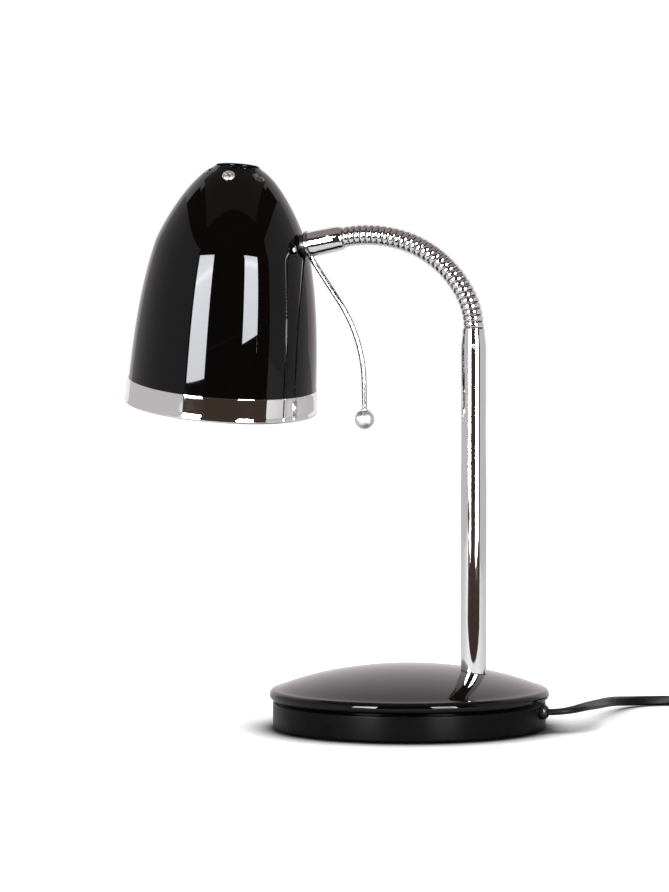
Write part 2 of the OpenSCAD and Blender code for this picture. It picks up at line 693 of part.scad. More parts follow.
module swivel_nipple() {
    l = wall_place + nipple_out - (ferrule_l - swivel_in + free_gap);
    color("#c8b26a") swivel_frame(ferrule_l - swivel_in + free_gap) difference() {
        cylinder(h = l, d = swivel_d);
        translate([0, 0, -1]) cylinder(h = l + 2, d = swivel_bore);
    }
}

module swivel_washer() {
    color("silver") swivel_frame(wall_place + saddle_in + seam_gap)
        ring_piece([0, 0, 0], 14, swivel_d + 0.2, swivel_washer_t);
}

module swivel_nut() {
    color("silver") swivel_frame(wall_place + saddle_in + seam_gap + swivel_washer_t + 0.05)
        hex_nut([0, 0, 0], swivel_nut_af, swivel_d + 0.1, swivel_nut_t);
}

// Everything on the shade: its own frame has the rim's centre at the origin and the shade's line up
module shade_frame() {
    translate(on_swivel(wall_place))
        rotate(a = shade_roll, v = [cos(neck_drop), 0, sin(neck_drop)])
            rotate([0, shade_lean, 0])
                translate([-shade_r(swivel_h), 0, -swivel_h]) children();
}

// A frame on the shade's wall with its Z along the outward normal
module on_wall(h, turn) {
    rotate(turn) translate([shade_r(h), 0, h]) rotate([0, 90 - shade_slope(h), 0]) children();
}

// The swivel line in the shade's own frame, Z from the neck towards the inside
module swivel_in_shade() {
    translate([shade_r(swivel_h), 0, swivel_h]) rotate([0, -90 - rest_swing, 0]) children();
}

module shade_profile(grow, bottom) {
    polygon(concat([[0, bottom], [rim_r + grow, bottom]],
        [for (p = shade_line) [p[0] + grow, p[1] + (p[1] > shoulder_h ? grow : 0)]],
        [[0, shade_h + grow]]));
}

module shade_solid(grow) {
    rotate_extrude($fn = 120) shade_profile(grow, -1);
}

function inset(line, t) = [for (i = [0:len(line) - 1])
    let (d = unit(line[min(i + 1, len(line) - 1)] - line[max(i - 1, 0)])) line[i] + t * [-d[1], d[0]]];

module shade() {
    inner = inset(shade_line, shade_wall);
    n = len(inner);
    color("#0c0c0d") shade_frame() difference() {
        union() {
            rotate_extrude($fn = 120)
                polygon(concat(shade_line, [for (i = [n - 1:-1:0]) inner[i]]));
            translate([0, 0, shade_h - 0.2]) rotate_extrude() translate([top_r, 0])
                circle(r = lip_roll_r, $fn = 24);
        }
        for (a = vent_turns) on_wall(vent_h, a) translate([0, 0, -6]) cylinder(h = 12, d = vent_d);
        for (a = holder_screw_turns) on_wall(vent_h, a) translate([0, 0, -6])
            cylinder(h = 12, d = holder_screw_d + 0.4);
        swivel_in_shade() translate([0, 0, -8]) cylinder(h = 18, d = swivel_hole);
    }
}

module shade_band() {
    line = [for (i = [0:6]) let (h = band_h * i / 6) [shade_r(h), h]];
    color("#dadadc") shade_frame() rotate_extrude($fn = 120)
        polygon(concat([[rim_r + band_t + 0.25, -0.4], [rim_r + band_t + 0.5, 0.2],
            [rim_r + band_t + 0.3, 0.9]],
            [for (i = [1:6]) line[i] + [band_t + fit_gap - (i == 6 ? 0.2 : 0), 0]],
            [for (i = [6:-1:0]) line[i] + [fit_gap, i == 0 ? -fit_gap : 0]],
            [[rim_r - shade_wall - 0.6, -0.1], [rim_r - shade_wall - 0.6, -0.7], [rim_r - 0.2, -1]]));
}

module swivel_spacer() {
    color("#111112") shade_frame() difference() {
        swivel_in_shade() translate([0, 0, -spacer_l]) cylinder(h = spacer_l + 3, d = spacer_d);
        shade_solid(fit_gap);
        swivel_in_shade() translate([0, 0, -spacer_l - 1]) cylinder(h = spacer_l + 6, d = swivel_hole);
    }
}

module saddle_washer() {
    inner = inset(shade_line, shade_wall + fit_gap);
    color("#9a9a9c") shade_frame() intersection() {
        swivel_in_shade() ring_piece([0, 0, -2], spacer_d, swivel_hole, saddle_in + 2);
        rotate_extrude($fn = 120) polygon(concat([[0, 0]], inner, [[0, shade_h]]));
    }
}

// Bent bar: straight and curved steps, each [length, 0] or [radius, turn]; it starts up Z and bends towards X
bend_step = 6;
function step_end(p, s, share) =
    s[1] == 0 ? [p[0] + s[0] * share * sin(p[2]), p[1] + s[0] * share * cos(p[2]), p[2]]
    : let (side = sign(s[1]), h = p[2] + s[1] * share)
        [p[0] + side * s[0] * (cos(p[2]) - cos(h)), p[1] + side * s[0] * (sin(h) - sin(p[2])), h];
function bar_line(steps, p = [0, 0, 0], i = 0) = i == len(steps) ? [p] :
    let (n = max(1, ceil(abs(steps[i][1]) / bend_step)))
    concat([for (j = [0:n - 1]) step_end(p, steps[i], j / n)], bar_line(steps, step_end(p, steps[i],
        1), i + 1));
module bent_bar(steps, d, sides = 16) {
    skin([for (p = bar_line(steps)) [for (j = [0:sides - 1])
        let (u = d / 2 * cos(j * 360 / sides), v = d / 2 * sin(j * 360 / sides))
        [p[0] + u * cos(p[2]), v, p[1] - u * sin(p[2])]]]);
}

// The handle's rod leaves the eye outwards, swings towards the stem and ends straight down
rod_steps = [[rod_kick_r, rod_kick], [rod_straight, 0], [rod_bend_r, -(neck_drop + rod_kick)], [rod_drop, 0]];
rod_line = bar_line(rod_steps);
rod_end = rod_line[len(rod_line) - 1];

// Frame of the rod's start: on the lower edge of the eye, Z down its plane, X towards the neck
module rod_frame() {
    translate(on_swivel(wall_place)) rotate(a = handle_roll, v = [cos(neck_drop), 0, sin(neck_drop)])
        translate(on_swivel(eye_place + eye_t / 2) - on_swivel(wall_place))
            rotate([0, 180 - neck_drop, 0]) mirror([1, 0, 0]) translate([0, 0, eye_d / 2 - 1]) children();
}

module handle_rod() {
    color("#d6d6d8") {
        difference() {
            union() {
                swivel_frame(eye_place) cylinder(h = eye_t, d = eye_d);
                rod_frame() bent_bar(rod_steps, rod_d);
            }
            swivel_frame(eye_place - 1) cylinder(h = eye_t + 2, d = swivel_hole);
        }
    }
}

module handle_ball() {
    color("#c9c9cb") rod_frame() translate([rod_end[0], 0, rod_end[1]]) rotate([0, rod_end[2], 0])
        difference() {
        union() {
            translate([0, 0, ball_d / 2 - 1]) sphere(d = ball_d);
            translate([0, 0, -1.4]) cylinder(h = 2.4, d = rod_d + 1.6);
        }
        translate([0, 0, -5]) cylinder(h = 5 + fit_gap, d = rod_d + 0.2);
    }
}

// Lampholder
module holder_bracket() {
    // The tabs stand clear of the curved wall
    tab_drop = shade_wall + fit_gap + 0.6;
    color("#8e8e90") shade_frame() difference() {
        union() {
            translate([-strip_w / 2, -vent_r + 1, strip_top - strip_t])
                cube([strip_w, 2 * vent_r - 2, strip_t]);
            for (a = holder_screw_turns) on_wall(vent_h, a)
                translate([0, 0, -tab_drop - 1.4]) cylinder(h = 1.4, d = holder_screw_head - 1);
        }
        translate([0, 0, strip_top - 5]) cylinder(h = 10, d = holder_thread_d + 0.2);
        for (a = holder_screw_turns) on_wall(vent_h, a) translate([0, 0, -6])
            cylinder(h = 12, d = holder_screw_d + 0.1);
    }
}

module holder_screws() {
    color("#b7b7b4") shade_frame() for (a = holder_screw_turns) on_wall(vent_h, a) {
        translate([0, 0, -4]) cylinder(h = 4.3, d = holder_screw_d);
        translate([0, 0, fit_gap]) intersection() {
            translate([0, 0, -2.6]) sphere(d = 9.6);
            translate([0, 0, 0]) cylinder(h = 4, d = holder_screw_head);
        }
    }
}

module holder_nut() {
    color("#c0b58a") shade_frame() translate([0, 0, strip_top + 0.05]) difference() {
        cylinder(h = 2.6, d = 15, $fn = 6);
        translate([0, 0, -1]) cylinder(h = 5, d = holder_thread_d + 0.1);
    }
}

module holder_body() {
    r = holder_d / 2;
    top = holder_top;
    cavity_r = shell_bore + shell_wall + fit_gap;
    cavity_top = shell_z + shell_l + shell_wall + fit_gap;
    color("#141414") shade_frame() difference() {
        rotate_extrude()
            polygon([[0, top + 4], [holder_thread_d / 2, top + 4], [holder_thread_d / 2, top], [11, top],
                [13.5, top - 2.4], [r - 5, top - 9], [r - 4, top - 18], [r - 1.6, top - 20],
                [r - 1.2, holder_mouth + 6], [r, holder_mouth + 4.5], [r, holder_mouth + 0.8],
                [r - 0.8, holder_mouth], [cavity_r + 0.6, holder_mouth], [cavity_r, holder_mouth + 1],
                [cavity_r, cavity_top], [0, cavity_top]]);
        translate([0, 0, top - 12]) cylinder(h = 20, d = 6);
    }
}

// Threaded sleeve with a turned-in flange at its inner end
module holder_shell() {
    turns = 5;
    flange_in_r = 6;
    end = shell_z + shell_l;
    color("#c9a545") shade_frame() rotate_extrude()
        polygon(concat([[shell_bore + shell_wall, shell_z]],
            [for (i = [0:2 * turns])
                [shell_bore + (i % 2 == 0 ? 0 : 0.25), shell_z + shell_l * i / (2 * turns)]],
            [[flange_in_r, end], [flange_in_r, end + shell_wall],
                [shell_bore + shell_wall, end + shell_wall]]));
}

module bulb_cap() {
    turns = 5;
    r = cap_d / 2;
    color("#c7c7c4") shade_frame() rotate_extrude()
        polygon(concat([[0, cap_z], [r - 0.5, cap_z]],
            [for (i = [1:2 * turns])
                [r - (i % 2 == 0 ? 0.8 : 0), cap_z + 2 + (cap_l - 5) * i / (2 * turns)]],
            [[r - 4, cap_z + cap_l - 1.5], [4.5, cap_z + cap_l - 0.6], [4, cap_z + cap_l + 0.4],
                [0, cap_z + cap_l + 0.6]]));
}

module bulb_glass() {
    r = bulb_d / 2;
    tip = glass_top - bulb_l;
    neck_r = cap_d / 2 - 1.2;
    side = tip + r * 1.12;
    outer = concat([for (a = [-90:10:20]) [r * cos(a), tip + r * (1 + sin(a))]],
        [for (i = [1:6]) bezier([r * cos(20), tip + r * (1 + sin(20))], [r * 0.86, side + r * 0.62],
            [neck_r + 1, glass_top - 28], [neck_r, cap_z - 0.1], i / 6)]);
    last = len(outer) - 1;
    inner = [for (i = [1:last]) outer[i] - [glass_t, i == last ? 0 : -glass_t * sin(max(0, 90 - 10 * i))]];
    color([0.97, 0.97, 0.95, 0.8]) shade_frame() rotate_extrude()
        polygon(concat(outer, [for (i = [last - 1:-1:0]) inner[i]], [[0, tip + glass_t]]));
}

module head_lead() {
    color("#161616") shade_frame() lead_in_plane(head_lead_points, round8(head_lead_d));
}

// Mains lead outside the lamp
module cord_run() {
    color("#141414") {
        lead_along(run_points, run_rolls, flat8(lead_w, lead_t));
        lead_along(out_points, out_rolls, flat8(lead_w, lead_t));
    }
}

// The coil winds in along the lower layer, climbs in the half turn where it reverses and winds out on top
function coil_point(t) =
    let (rise = max(0, min(1, (t - coil_turns) / 0.5)))
    [coil_in_r + coil_pitch * abs(t - coil_mid), -360 * t,
        coil_z + layer_rise * (3 - 2 * rise) * rise * rise];
function coil_ring(t) =
    let (p = coil_point(t))
    [for (q = flat6(lead_w, lead_t)) let (r = p[0] + q[0])
        [coil_place[0] + r * cos(p[1]), coil_place[1] + r * sin(p[1]), p[2] + q[1]]];
coil_rings = [for (i = [0:coil_steps * coil_turn_all]) coil_ring(i / coil_steps)];
// The free end turns flat as it comes down beside the coil and runs straight into the plug.
// Each point is [distance along Y, turn]
tail_points = [[-8, 0], [-18, 0], [-29, 40], [-39, 80], [-47, 90]];
module cord_coil() {
    end_z = coil_z + layer_rise;
    tail = [for (p = tail_points)
        let (a = p[1], z = end_z + (plug_z - end_z) * a / 90)
        [for (q = flat6(lead_w, lead_t))
            [coil_place[0] + coil_r + q[0] * cos(a) + q[1] * sin(a), coil_place[1] + p[0],
             z + q[1] * cos(a) - q[0] * sin(a)]]];
    color("#141414") skin(concat(coil_rings, tail));
}

module cord_ties() {
    inner_x = coil_in_r - lead_t / 2 - free_gap;
    outer_x = coil_r + lead_t / 2 + free_gap;
    top = coil_z + layer_rise + lead_w / 2 + free_gap;
    bottom = coil_z - lead_w / 2 - fit_gap;
    color("#1a1a1a") for (a = tie_turns) translate([each coil_place, 0]) rotate(a) difference() {
        translate([inner_x - tie_t, -tie_w / 2, bottom - tie_t])
            cube([outer_x - inner_x + 2 * tie_t, tie_w, top - bottom + 2 * tie_t]);
        translate([inner_x, -tie_w, bottom]) cube([outer_x - inner_x, 2 * tie_w, top - bottom]);
    }
}

// Cord switch: two halves and a rocker on its own pins
switch_split = switch_h / 2;
rocker_l = 19;
rocker_w = 10.6;
window_l = rocker_l + 1.8;
window_w = rocker_w + 1;
rocker_z = switch_h - 4.6;
rocker_tilt = 8;
rocker_pin_d = 2.4;
module switch_frame() {
    translate([switch_x + switch_l / 2, switch_y, 0]) children();
}

// Outline of the switch from above, drawn in at both ends
module switch_plan(grow) {
    x = switch_l / 2;
    y = switch_w / 2 + grow;
    polygon([[x, -5], [x, 5], [x - 3, 7.6], [x - 12, y - 0.8], [x - 18, y], [-x + 18, y],
        [-x + 12, y - 0.8], [-x + 3, 7.6],
        [-x, 5], [-x, -5], [-x + 3, -7.6], [-x + 12, -y + 0.8], [-x + 18, -y], [x - 18, -y],
            [x - 12, -y + 0.8], [x - 3, -7.6]]);
}

// Side view of the switch, lower at both ends
module switch_side() {
    x = switch_l / 2;
    rotate([90, 0, 0]) linear_extrude(2 * switch_w, center = true)
        polygon([[-x, 1.5], [-x + 1.5, 0], [x - 1.5, 0], [x, 1.5], [x, switch_h - 4.4],
            [x - 7, switch_h - 1.2],
            [x - 14, switch_h], [-x + 14, switch_h], [-x + 7, switch_h - 1.2], [-x, switch_h - 4.4]]);
}

module switch_half(low, high) {
    difference() {
        intersection() {
            translate([0, 0, low]) linear_extrude(high - low) switch_plan(0);
            switch_side();
        }
        translate([-window_l / 2, -window_w / 2, 5]) cube([window_l, window_w, switch_h]);
        translate([0, switch_w / 2 - 2, rocker_z]) rotate([90, 0, 0])
            cylinder(h = switch_w - 4, d = rocker_pin_d + 0.16);
    }
}

module switch_base() {
    color("#101010") switch_frame() switch_half(0, switch_split - 0.05);
}

module switch_cover() {
    color("#121212") switch_frame() switch_half(switch_split + 0.05, switch_h);
}

module switch_rocker() {
    x = rocker_l / 2;
    color("#1d1d1d") switch_frame() translate([0, 0, rocker_z]) rotate([0, rocker_tilt, 0]) {
        rotate([90, 0, 0]) linear_extrude(rocker_w, center = true)
            polygon([[-x, 5.4], [-x * 0.5, 5], [0, 4.2], [x * 0.5, 5], [x, 5.4], [x, 1],
                [x * 0.6, -2.6], [-x * 0.6, -2.6], [-x, 1]]);
        rotate([90, 0, 0]) cylinder(h = rocker_w + 4, d = rocker_pin_d, center = true);
    }
}

// Flat two-pin plug, lying beside the coil with its pins towards the front
module plug_body() {
    w = plug_w / 2;
    h = plug_h / 2;
    color("#121212") translate([plug_x, plug_y, plug_z]) rotate([0, 0, -90]) intersection() {
        translate([0, 0, -h]) linear_extrude(plug_h)
            polygon([[0, -5], [0, 5], [7, 6.4], [12, 10], [17, w - 2], [24, w], [plug_l - 1.5, w],
                [plug_l, w - 1.5],
                [plug_l, -w + 1.5], [plug_l - 1.5, -w], [24, -w], [17, -w + 2], [12, -10], [7, -6.4]]);
        rotate([90, 0, 0]) linear_extrude(2 * plug_w, center = true)
            polygon([[0, -4], [0, 4], [6, 5.2], [14, h - 0.3], [20, h], [plug_l - 1.2, h],
                [plug_l, h - 1.2],
                [plug_l, -h + 1.2], [plug_l - 1.2, -h], [20, -h], [14, -h + 0.3], [6, -5.2]]);
    }
}

module plug_pins() {
    color("#c8c8c8") for (side = [-1, 1])
        translate([plug_x + side * pin_spacing / 2, plug_y - plug_l - 0.02, pin_z]) rotate([90, 0, 0])
            rotate_extrude()
            polygon([[0, 0], [pin_d / 2, 0], [pin_d / 2, pin_l - 1.6], [pin_d / 2 * 0.7, pin_l - 0.4],
                [pin_d / 2 * 0.35, pin_l], [0, pin_l]]);
}

// Least gaps between neighbouring turns, measured on the points of the rings
function ring_gap_to(a, b) = min([for (p = a) for (q = b) norm(p - q)]);
neck_gap = min([for (i = [0:15:360 * (neck_turns - 2)]) let (t = 0.6 + i / 360)
    ring_gap_to(wire_ring(t), wire_ring(t + 1))]);
coil_gap = min([for (i = [0:len(coil_rings) - coil_steps - 1]) ring_gap_to(coil_rings[i],
    coil_rings[i + coil_steps])]);
echo(neck_least_gap = neck_gap, coil_least_gap = coil_gap);

base_cover();
base_skirt();
base_weight();
base_plate();
base_screws();
base_pad();
stem_tube();
stem_bush();
stem_nipple();
stem_nut();
neck_socket();
stem_grub_screw();
cord_grommet();
cord_clip();
base_lead();
for (k = [1:link_count]) neck_link(k);
neck_ferrule();
swivel_nipple();
swivel_washer();
swivel_nut();
handle_rod();
handle_ball();
swivel_spacer();
saddle_washer();
shade();
shade_band();
holder_bracket();
holder_screws();
holder_nut();
holder_body();
holder_shell();
bulb_cap();
bulb_glass();
head_lead();
cord_run();
cord_coil();
cord_ties();
switch_base();
switch_cover();
switch_rocker();
plug_body();
plug_pins();
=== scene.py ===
"""Desk lamp with a round weighted base, a straight stem, a flexible neck and a swivelling bell shade.

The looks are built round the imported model. Sizes in the property groups are in metres, and the
operators work in millimetres in the same frame: +Z up, the stem and the mains lead on the +X side.
"""
import math

import bpy
from mathutils import Matrix, Vector
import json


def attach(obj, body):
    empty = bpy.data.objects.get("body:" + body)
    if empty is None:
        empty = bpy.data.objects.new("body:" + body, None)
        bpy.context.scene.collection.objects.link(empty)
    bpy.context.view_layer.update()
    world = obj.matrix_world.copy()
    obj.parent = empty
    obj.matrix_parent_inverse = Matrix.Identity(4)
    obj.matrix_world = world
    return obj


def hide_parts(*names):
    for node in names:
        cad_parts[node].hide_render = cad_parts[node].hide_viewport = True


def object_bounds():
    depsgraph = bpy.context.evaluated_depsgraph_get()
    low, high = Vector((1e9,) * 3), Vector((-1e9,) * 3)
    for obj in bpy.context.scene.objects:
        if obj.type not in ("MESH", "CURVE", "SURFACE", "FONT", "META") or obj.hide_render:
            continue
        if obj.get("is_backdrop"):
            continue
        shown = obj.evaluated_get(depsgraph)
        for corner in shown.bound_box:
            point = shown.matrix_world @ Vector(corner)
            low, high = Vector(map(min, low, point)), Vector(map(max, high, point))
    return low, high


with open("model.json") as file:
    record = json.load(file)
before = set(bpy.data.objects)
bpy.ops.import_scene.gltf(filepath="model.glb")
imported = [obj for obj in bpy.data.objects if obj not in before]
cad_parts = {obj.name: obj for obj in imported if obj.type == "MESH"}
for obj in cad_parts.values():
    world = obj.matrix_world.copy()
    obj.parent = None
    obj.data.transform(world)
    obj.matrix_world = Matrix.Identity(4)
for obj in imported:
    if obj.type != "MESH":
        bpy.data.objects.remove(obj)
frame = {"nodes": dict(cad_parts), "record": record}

bl_info = {
    "name": "Desk lamp",
    "version": (1, 0, 0),
    "blender": (4, 5, 0),
    "location": "View3D > Sidebar > Desk lamp",
    "description": "Builds the visible pieces of a gooseneck desk lamp round its packed model",
    "category": "Object",
}

MM = 0.001
NODES = frame["nodes"]


# Properties

def length(name, about, mm):
    return bpy.props.FloatProperty(
        name=name, description=about, default=mm * MM, min=0.0, precision=5, unit="LENGTH"
    )


def turn(name, about, degrees):
    return bpy.props.FloatProperty(
        name=name, description=about, default=math.radians(degrees), subtype="ANGLE"
    )


def share(name, about, value):
    return bpy.props.FloatProperty(name=name, description=about, default=value, min=0.0, max=1.0)


def colour(name, about, value):
    return bpy.props.FloatVectorProperty(
        name=name, description=about, default=value, size=3, min=0.0, max=1.0, subtype="COLOR"
    )


class BaseSizes(bpy.types.PropertyGroup):
    cover_d: length("Cover diameter", "Domed cover over its rolled edge", 175.2)
    bead_r: length("Rolled edge", "Radius of the rolled edge of the cover", 3.6)
    bead_z: length("Edge height", "Height of the middle of the rolled edge", 21.6)
    dome_top: length("Dome height", "Height of the top of the dome", 39.7)
    dome_a: length("Dome half width", "Half width of the flat ellipse that the dome is cut from", 120)
    dome_b: length("Dome half height", "Half height of that ellipse", 51)
    cover_wall: length("Cover wall", "Sheet thickness of the cover", 1.2)
    skirt_in: length("Skirt inset", "How far the skirt stands back under the edge", 2.1)
    skirt_wall: length("Skirt wall", "Wall of the skirt", 2.5)
    skirt_top: length("Skirt height", "Height of the top of the skirt", 16.7)
    pad_t: length("Pad thickness", "Thickness of the felt pad", 1)
    grommet_d: length("Grommet diameter", "Grommet of the mains lead outside the skirt", 9.6)
    grommet_z: length("Grommet height", "Height of the grommet above the table", 12.6)


class StemSizes(bpy.types.PropertyGroup):
    tube_d: length("Tube diameter", "Outer diameter of the stem", 16)
    wall: length("Tube wall", "Wall of the stem tube", 1)
    place: length("Place", "Distance of the stem from the middle of the base", 41.5)
    top: length("Height", "Height of the top of the stem", 250.8)
    crimp_l: length("Crimp length", "Length of the rolled-in end", 12)
    crimp_d: length("Crimp diameter", "Diameter at the rolled-in lip", 13.7)
    grub_drop: length("Grub screw", "Height of the grub screw below the top", 10.6)
    grub_turn: turn("Grub screw side", "Side of the stem that the grub screw is on", -75)


class NeckSizes(bpy.types.PropertyGroup):
    neck_d: length("Neck diameter", "Diameter over the winding", 12.9)
    foot_r: length("Foot radius", "Radius of the bend at the foot", 46)
    foot_turn: turn("Foot turn", "Turn of the bend at the foot", 28)
    mid_r: length("Middle radius", "Radius of the middle of the neck", 67.5)
    mid_turn: turn("Middle turn", "Turn of the middle of the neck", 45)
    head_r: length("Head radius", "Radius of the bend at the head end", 79.5)
    drop: turn("Fall", "Fall of the head end below level", 11.4)
    rib_w: length("Rib width", "Width of the crowned outer wire along the neck", 3.3)
    crown_r: length("Rib crown", "Radius of the crown of that wire", 3.9)
    rib_t: length("Rib thickness", "Thickness of that wire", 1.9)
    fine_d: length("Inner wire", "Diameter of the dark wire under the grooves", 2.1)
    groove: length("Groove", "Depth of the dark wire below the surface", 0.9)
    turns_per_link: bpy.props.FloatProperty(
        name="Turns per link", description="Turns of wire on each link of the chain", default=1.6
    )
    links: bpy.props.IntProperty(name="Links", description="Links of the chain", default=19)


class HandleSizes(bpy.types.PropertyGroup):
    ferrule_l: length("Ferrule length", "Length of the ferrule", 22.2)
    ferrule_d: length("Ferrule diameter", "Diameter of the ferrule at the head end", 16.2)
    ferrule_end_d: length("Ferrule end", "Diameter of the ferrule at the neck's end", 14.2)
    eye_t: length("Eye thickness", "Thickness of the eye of the handle", 2)
    eye_d: length("Eye diameter", "Diameter of the eye of the handle", 17.2)
    eye_hole: length("Eye hole", "Hole in the eye of the handle", 8.6)
    spacer_l: length("Spacer", "Length of the black spacer behind the eye", 2)
    rod_d: length("Rod diameter", "Diameter of the handle rod", 3.2)
    rod_start: length("Rod start", "From the middle of the eye to the start of the rod", 7)
    tail: length("Tail", "Length over which the rod thickens towards the eye", 6)
    kick_r: length("First bend", "Radius of the bend where the rod leaves the eye", 8)
    kick: turn("First turn", "Turn of that bend", 21.9)
    straight: length("Straight", "Straight length after that bend", 31)
    bend_r: length("Long bend", "Radius of the long bend of the rod", 93.6)
    fall: length("Straight fall", "Straight fall above the ball", 17.6)
    ball_d: length("Ball", "Diameter of the ball", 12.3)
    roll: turn("Roll", "Roll of the handle about the swivel line", 3)


class ShadeSizes(bpy.types.PropertyGroup):
    rim_d: length("Rim diameter", "Diameter of the shade at its rim", 120)
    height: length("Height", "From the rim to the top opening", 152)
    top_d: length("Top opening", "Diameter of the top opening", 26)
    wall: length("Wall", "Sheet thickness of the shade", 0.8)
    swivel_h: length("Swivel height", "Height of the swivel hole above the rim", 107.2)
    lean: turn("Lean", "Lean of the shade towards the stem", 5.9)
    roll: turn("Roll", "Roll of the shade about the swivel line", 5.7)
    band_h: length("Band height", "Height of the bright band at the rim", 14.5)
    band_t: length("Band thickness", "Thickness of the bright band", 0.6)
    vent_d: length("Vent holes", "Diameter of the vent holes", 8)
    vent_r: length("Vent circle", "Radius of the circle of vents and screws", 19.4)
    screw_head: length("Screw heads", "Diameter of the screws of the holder", 8)


class LampSizes(bpy.types.PropertyGroup):
    bulb_d: length("Bulb diameter", "Largest diameter of the bulb", 60)
    bulb_l: length("Bulb length", "Length of the glass of the bulb", 80)
    cap_d: length("Cap diameter", "Diameter of the screw cap", 26.2)
    holder_l: length("Holder length", "Length of the lampholder", 46)


class LeadSizes(bpy.types.PropertyGroup):
    width: length("Lead width", "Width of the flat twin lead", 6.2)
    thickness: length("Lead thickness", "Thickness of the flat twin lead", 3.8)
    coil_r: length("Coil radius", "Radius of the outermost turn of the coil", 40.5)
    coil_pitch: length("Coil pitch", "Distance from turn to turn", 4.3)
    coil_rise: length("Coil layer", "Rise from the lower layer to the upper one", 6.7)
    coil_z: length("Coil height", "Height of the lower layer's centre line", 4.2)
    real_length: length("Real length", "Length of the whole free lead", 1820)


class FinishColours(bpy.types.PropertyGroup):
    enamel: colour("Gloss enamel", "Black stoved enamel of the shade and the cover", (0.0024, 0.0019, 0.0019))
    satin: colour("Satin paint", "Satin black paint of the skirt", (0.003, 0.0024, 0.0025))
    chrome: colour("Chrome", "Bright chrome plate", (0.86, 0.845, 0.85))
    nickel: colour("Nickel", "Satin nickel of the ball and the screws", (0.68, 0.655, 0.63))
    lining: colour("Lining", "White enamel inside the shade", (0.86, 0.855, 0.84))
    lead: colour("Lead sheath", "Sheath of the mains lead", (0.005, 0.0046, 0.005))
    plastic: colour("Plastic", "Moulded black plastic", (0.013, 0.0125, 0.013))


class StudioSettings(bpy.types.PropertyGroup):
    distance: length("Camera distance", "From the lamp to the camera", 3000)
    side_turn: turn("Camera side", "Turn of the camera to the right of the front", 15.24)
    tilt: turn("Camera height", "How far the camera looks down", 3.29)
    scale: length("Picture scale", "Size of one picture point at the middle of the lamp", 0.6248)
    centre_px: bpy.props.FloatVectorProperty(
        name="Centre", description="Picture point that the camera's target falls on",
        default=(409.34, 441.2), size=2
    )
    room: share("Room light", "Strength of the soft light all round", 0.62)
    floor_grey: share("Floor", "How pale the floor is", 0.7)
    floor_lift: share("Floor lift", "What the floor gives the camera besides its own light", 0.6)
    contact: length("Contact shadow", "How far the dark edge under the base reaches over the floor", 42)
    side_watts: bpy.props.FloatProperty(name="Side lamps", description="Power of each side lamp", default=5)
    top_watts: bpy.props.FloatProperty(name="Top lamp", description="Power of the lamp overhead", default=9)


GROUPS = {
    "lamp_base": BaseSizes,
    "lamp_stem": StemSizes,
    "lamp_neck": NeckSizes,
    "lamp_handle": HandleSizes,
    "lamp_shade": ShadeSizes,
    "lamp_bulb": LampSizes,
    "lamp_lead": LeadSizes,
    "lamp_finish": FinishColours,
    "lamp_studio": StudioSettings,
}


class Sizes:
    """Reads a property group in millimetres and degrees."""

    def __init__(self, name):
        self.group = getattr(bpy.context.scene, name)

    def __getattr__(self, key):
        value = getattr(self.group, key)
        prop = self.group.bl_rna.properties[key]
        if prop.type != "FLOAT" or prop.is_array:
            return value
        if prop.subtype == "ANGLE":
            return math.degrees(value)
        return value / MM if prop.unit == "LENGTH" else value


# Geometry of the neck, the swivel and the shade, all in millimetres

def sin(a):
    return math.sin(math.radians(a))


def cos(a):
    return math.cos(math.radians(a))


def moved(x, y, z):
    return Matrix.Translation((x, y, z))


def turned(degrees, axis):
    return Matrix.Rotation(math.radians(degrees), 4, axis)


def neck_arcs():
    n = Sizes("lamp_neck")
    head_turn = 90 + n.drop - n.foot_turn - n.mid_turn
    return [(n.foot_r, n.foot_turn), (n.mid_r, n.mid_turn), (n.head_r, head_turn)]


def neck_length():
    return sum(r * math.radians(t) for r, t in neck_arcs())


def neck_at(s):
    """Place and heading at a distance along the neck; beyond its ends the line runs straight on."""
    stem = Sizes("lamp_stem")
    x, z, h = stem.place, stem.top, 0.0
    total = neck_length()
    over = min(s, 0.0) or max(s - total, 0.0)
    left = min(max(s, 0.0), total)
    for r, t in neck_arcs():
        part = min(left, r * math.radians(t))
        a = math.degrees(part / r)
        x -= r * (cos(h) - cos(h + a))
        z += r * (sin(h + a) - sin(h))
        h += a
        left -= part
    return Vector((x - over * sin(h), 0, z + over * cos(h))), h


def swivel_matrix(d):
    """Z runs from the neck to the shade along the swivel line, at a distance from the neck's end."""
    n = Sizes("lamp_neck")
    end, _ = neck_at(neck_length())
    place = end - Vector((cos(n.drop), 0, sin(n.drop))) * d
    return Matrix.Translation(place) @ turned(-90 - n.drop, "Y")


EYE_GAP = 0.15
SPACER_GAP = 0.1


def eye_place():
    return Sizes("lamp_handle").ferrule_l + EYE_GAP


def wall_place():
    h = Sizes("lamp_handle")
    return eye_place() + h.eye_t + SPACER_GAP + h.spacer_l


def bezier(p, t):
    u = 1 - t
    return Vector([u ** 3 * a + 3 * u * u * t * b + 3 * u * t * t * c + t ** 3 * d for a, b, c, d in zip(*p)])


def shade_line(steps=28):
    """Outline of the shade from the rim to the top opening, as (radius, height)."""
    s = Sizes("lamp_shade")
    rim, top, high = s.rim_d / 2, s.top_d / 2, s.height
    way = Vector((-0.2474, 0.969))
    knee = Vector((rim * 0.8125, high * 0.6632))
    low = [(rim, 0), (rim * 0.978, high * 0.232), knee - way * high * 0.221, knee]
    upper = [knee, knee + way * high * 0.0605, (top + rim * 0.268, high * 0.963), (top, high)]
    return (
        [bezier(low, i / steps) for i in range(steps)]
        + [bezier(upper, i / steps) for i in range(steps + 1)]
    )


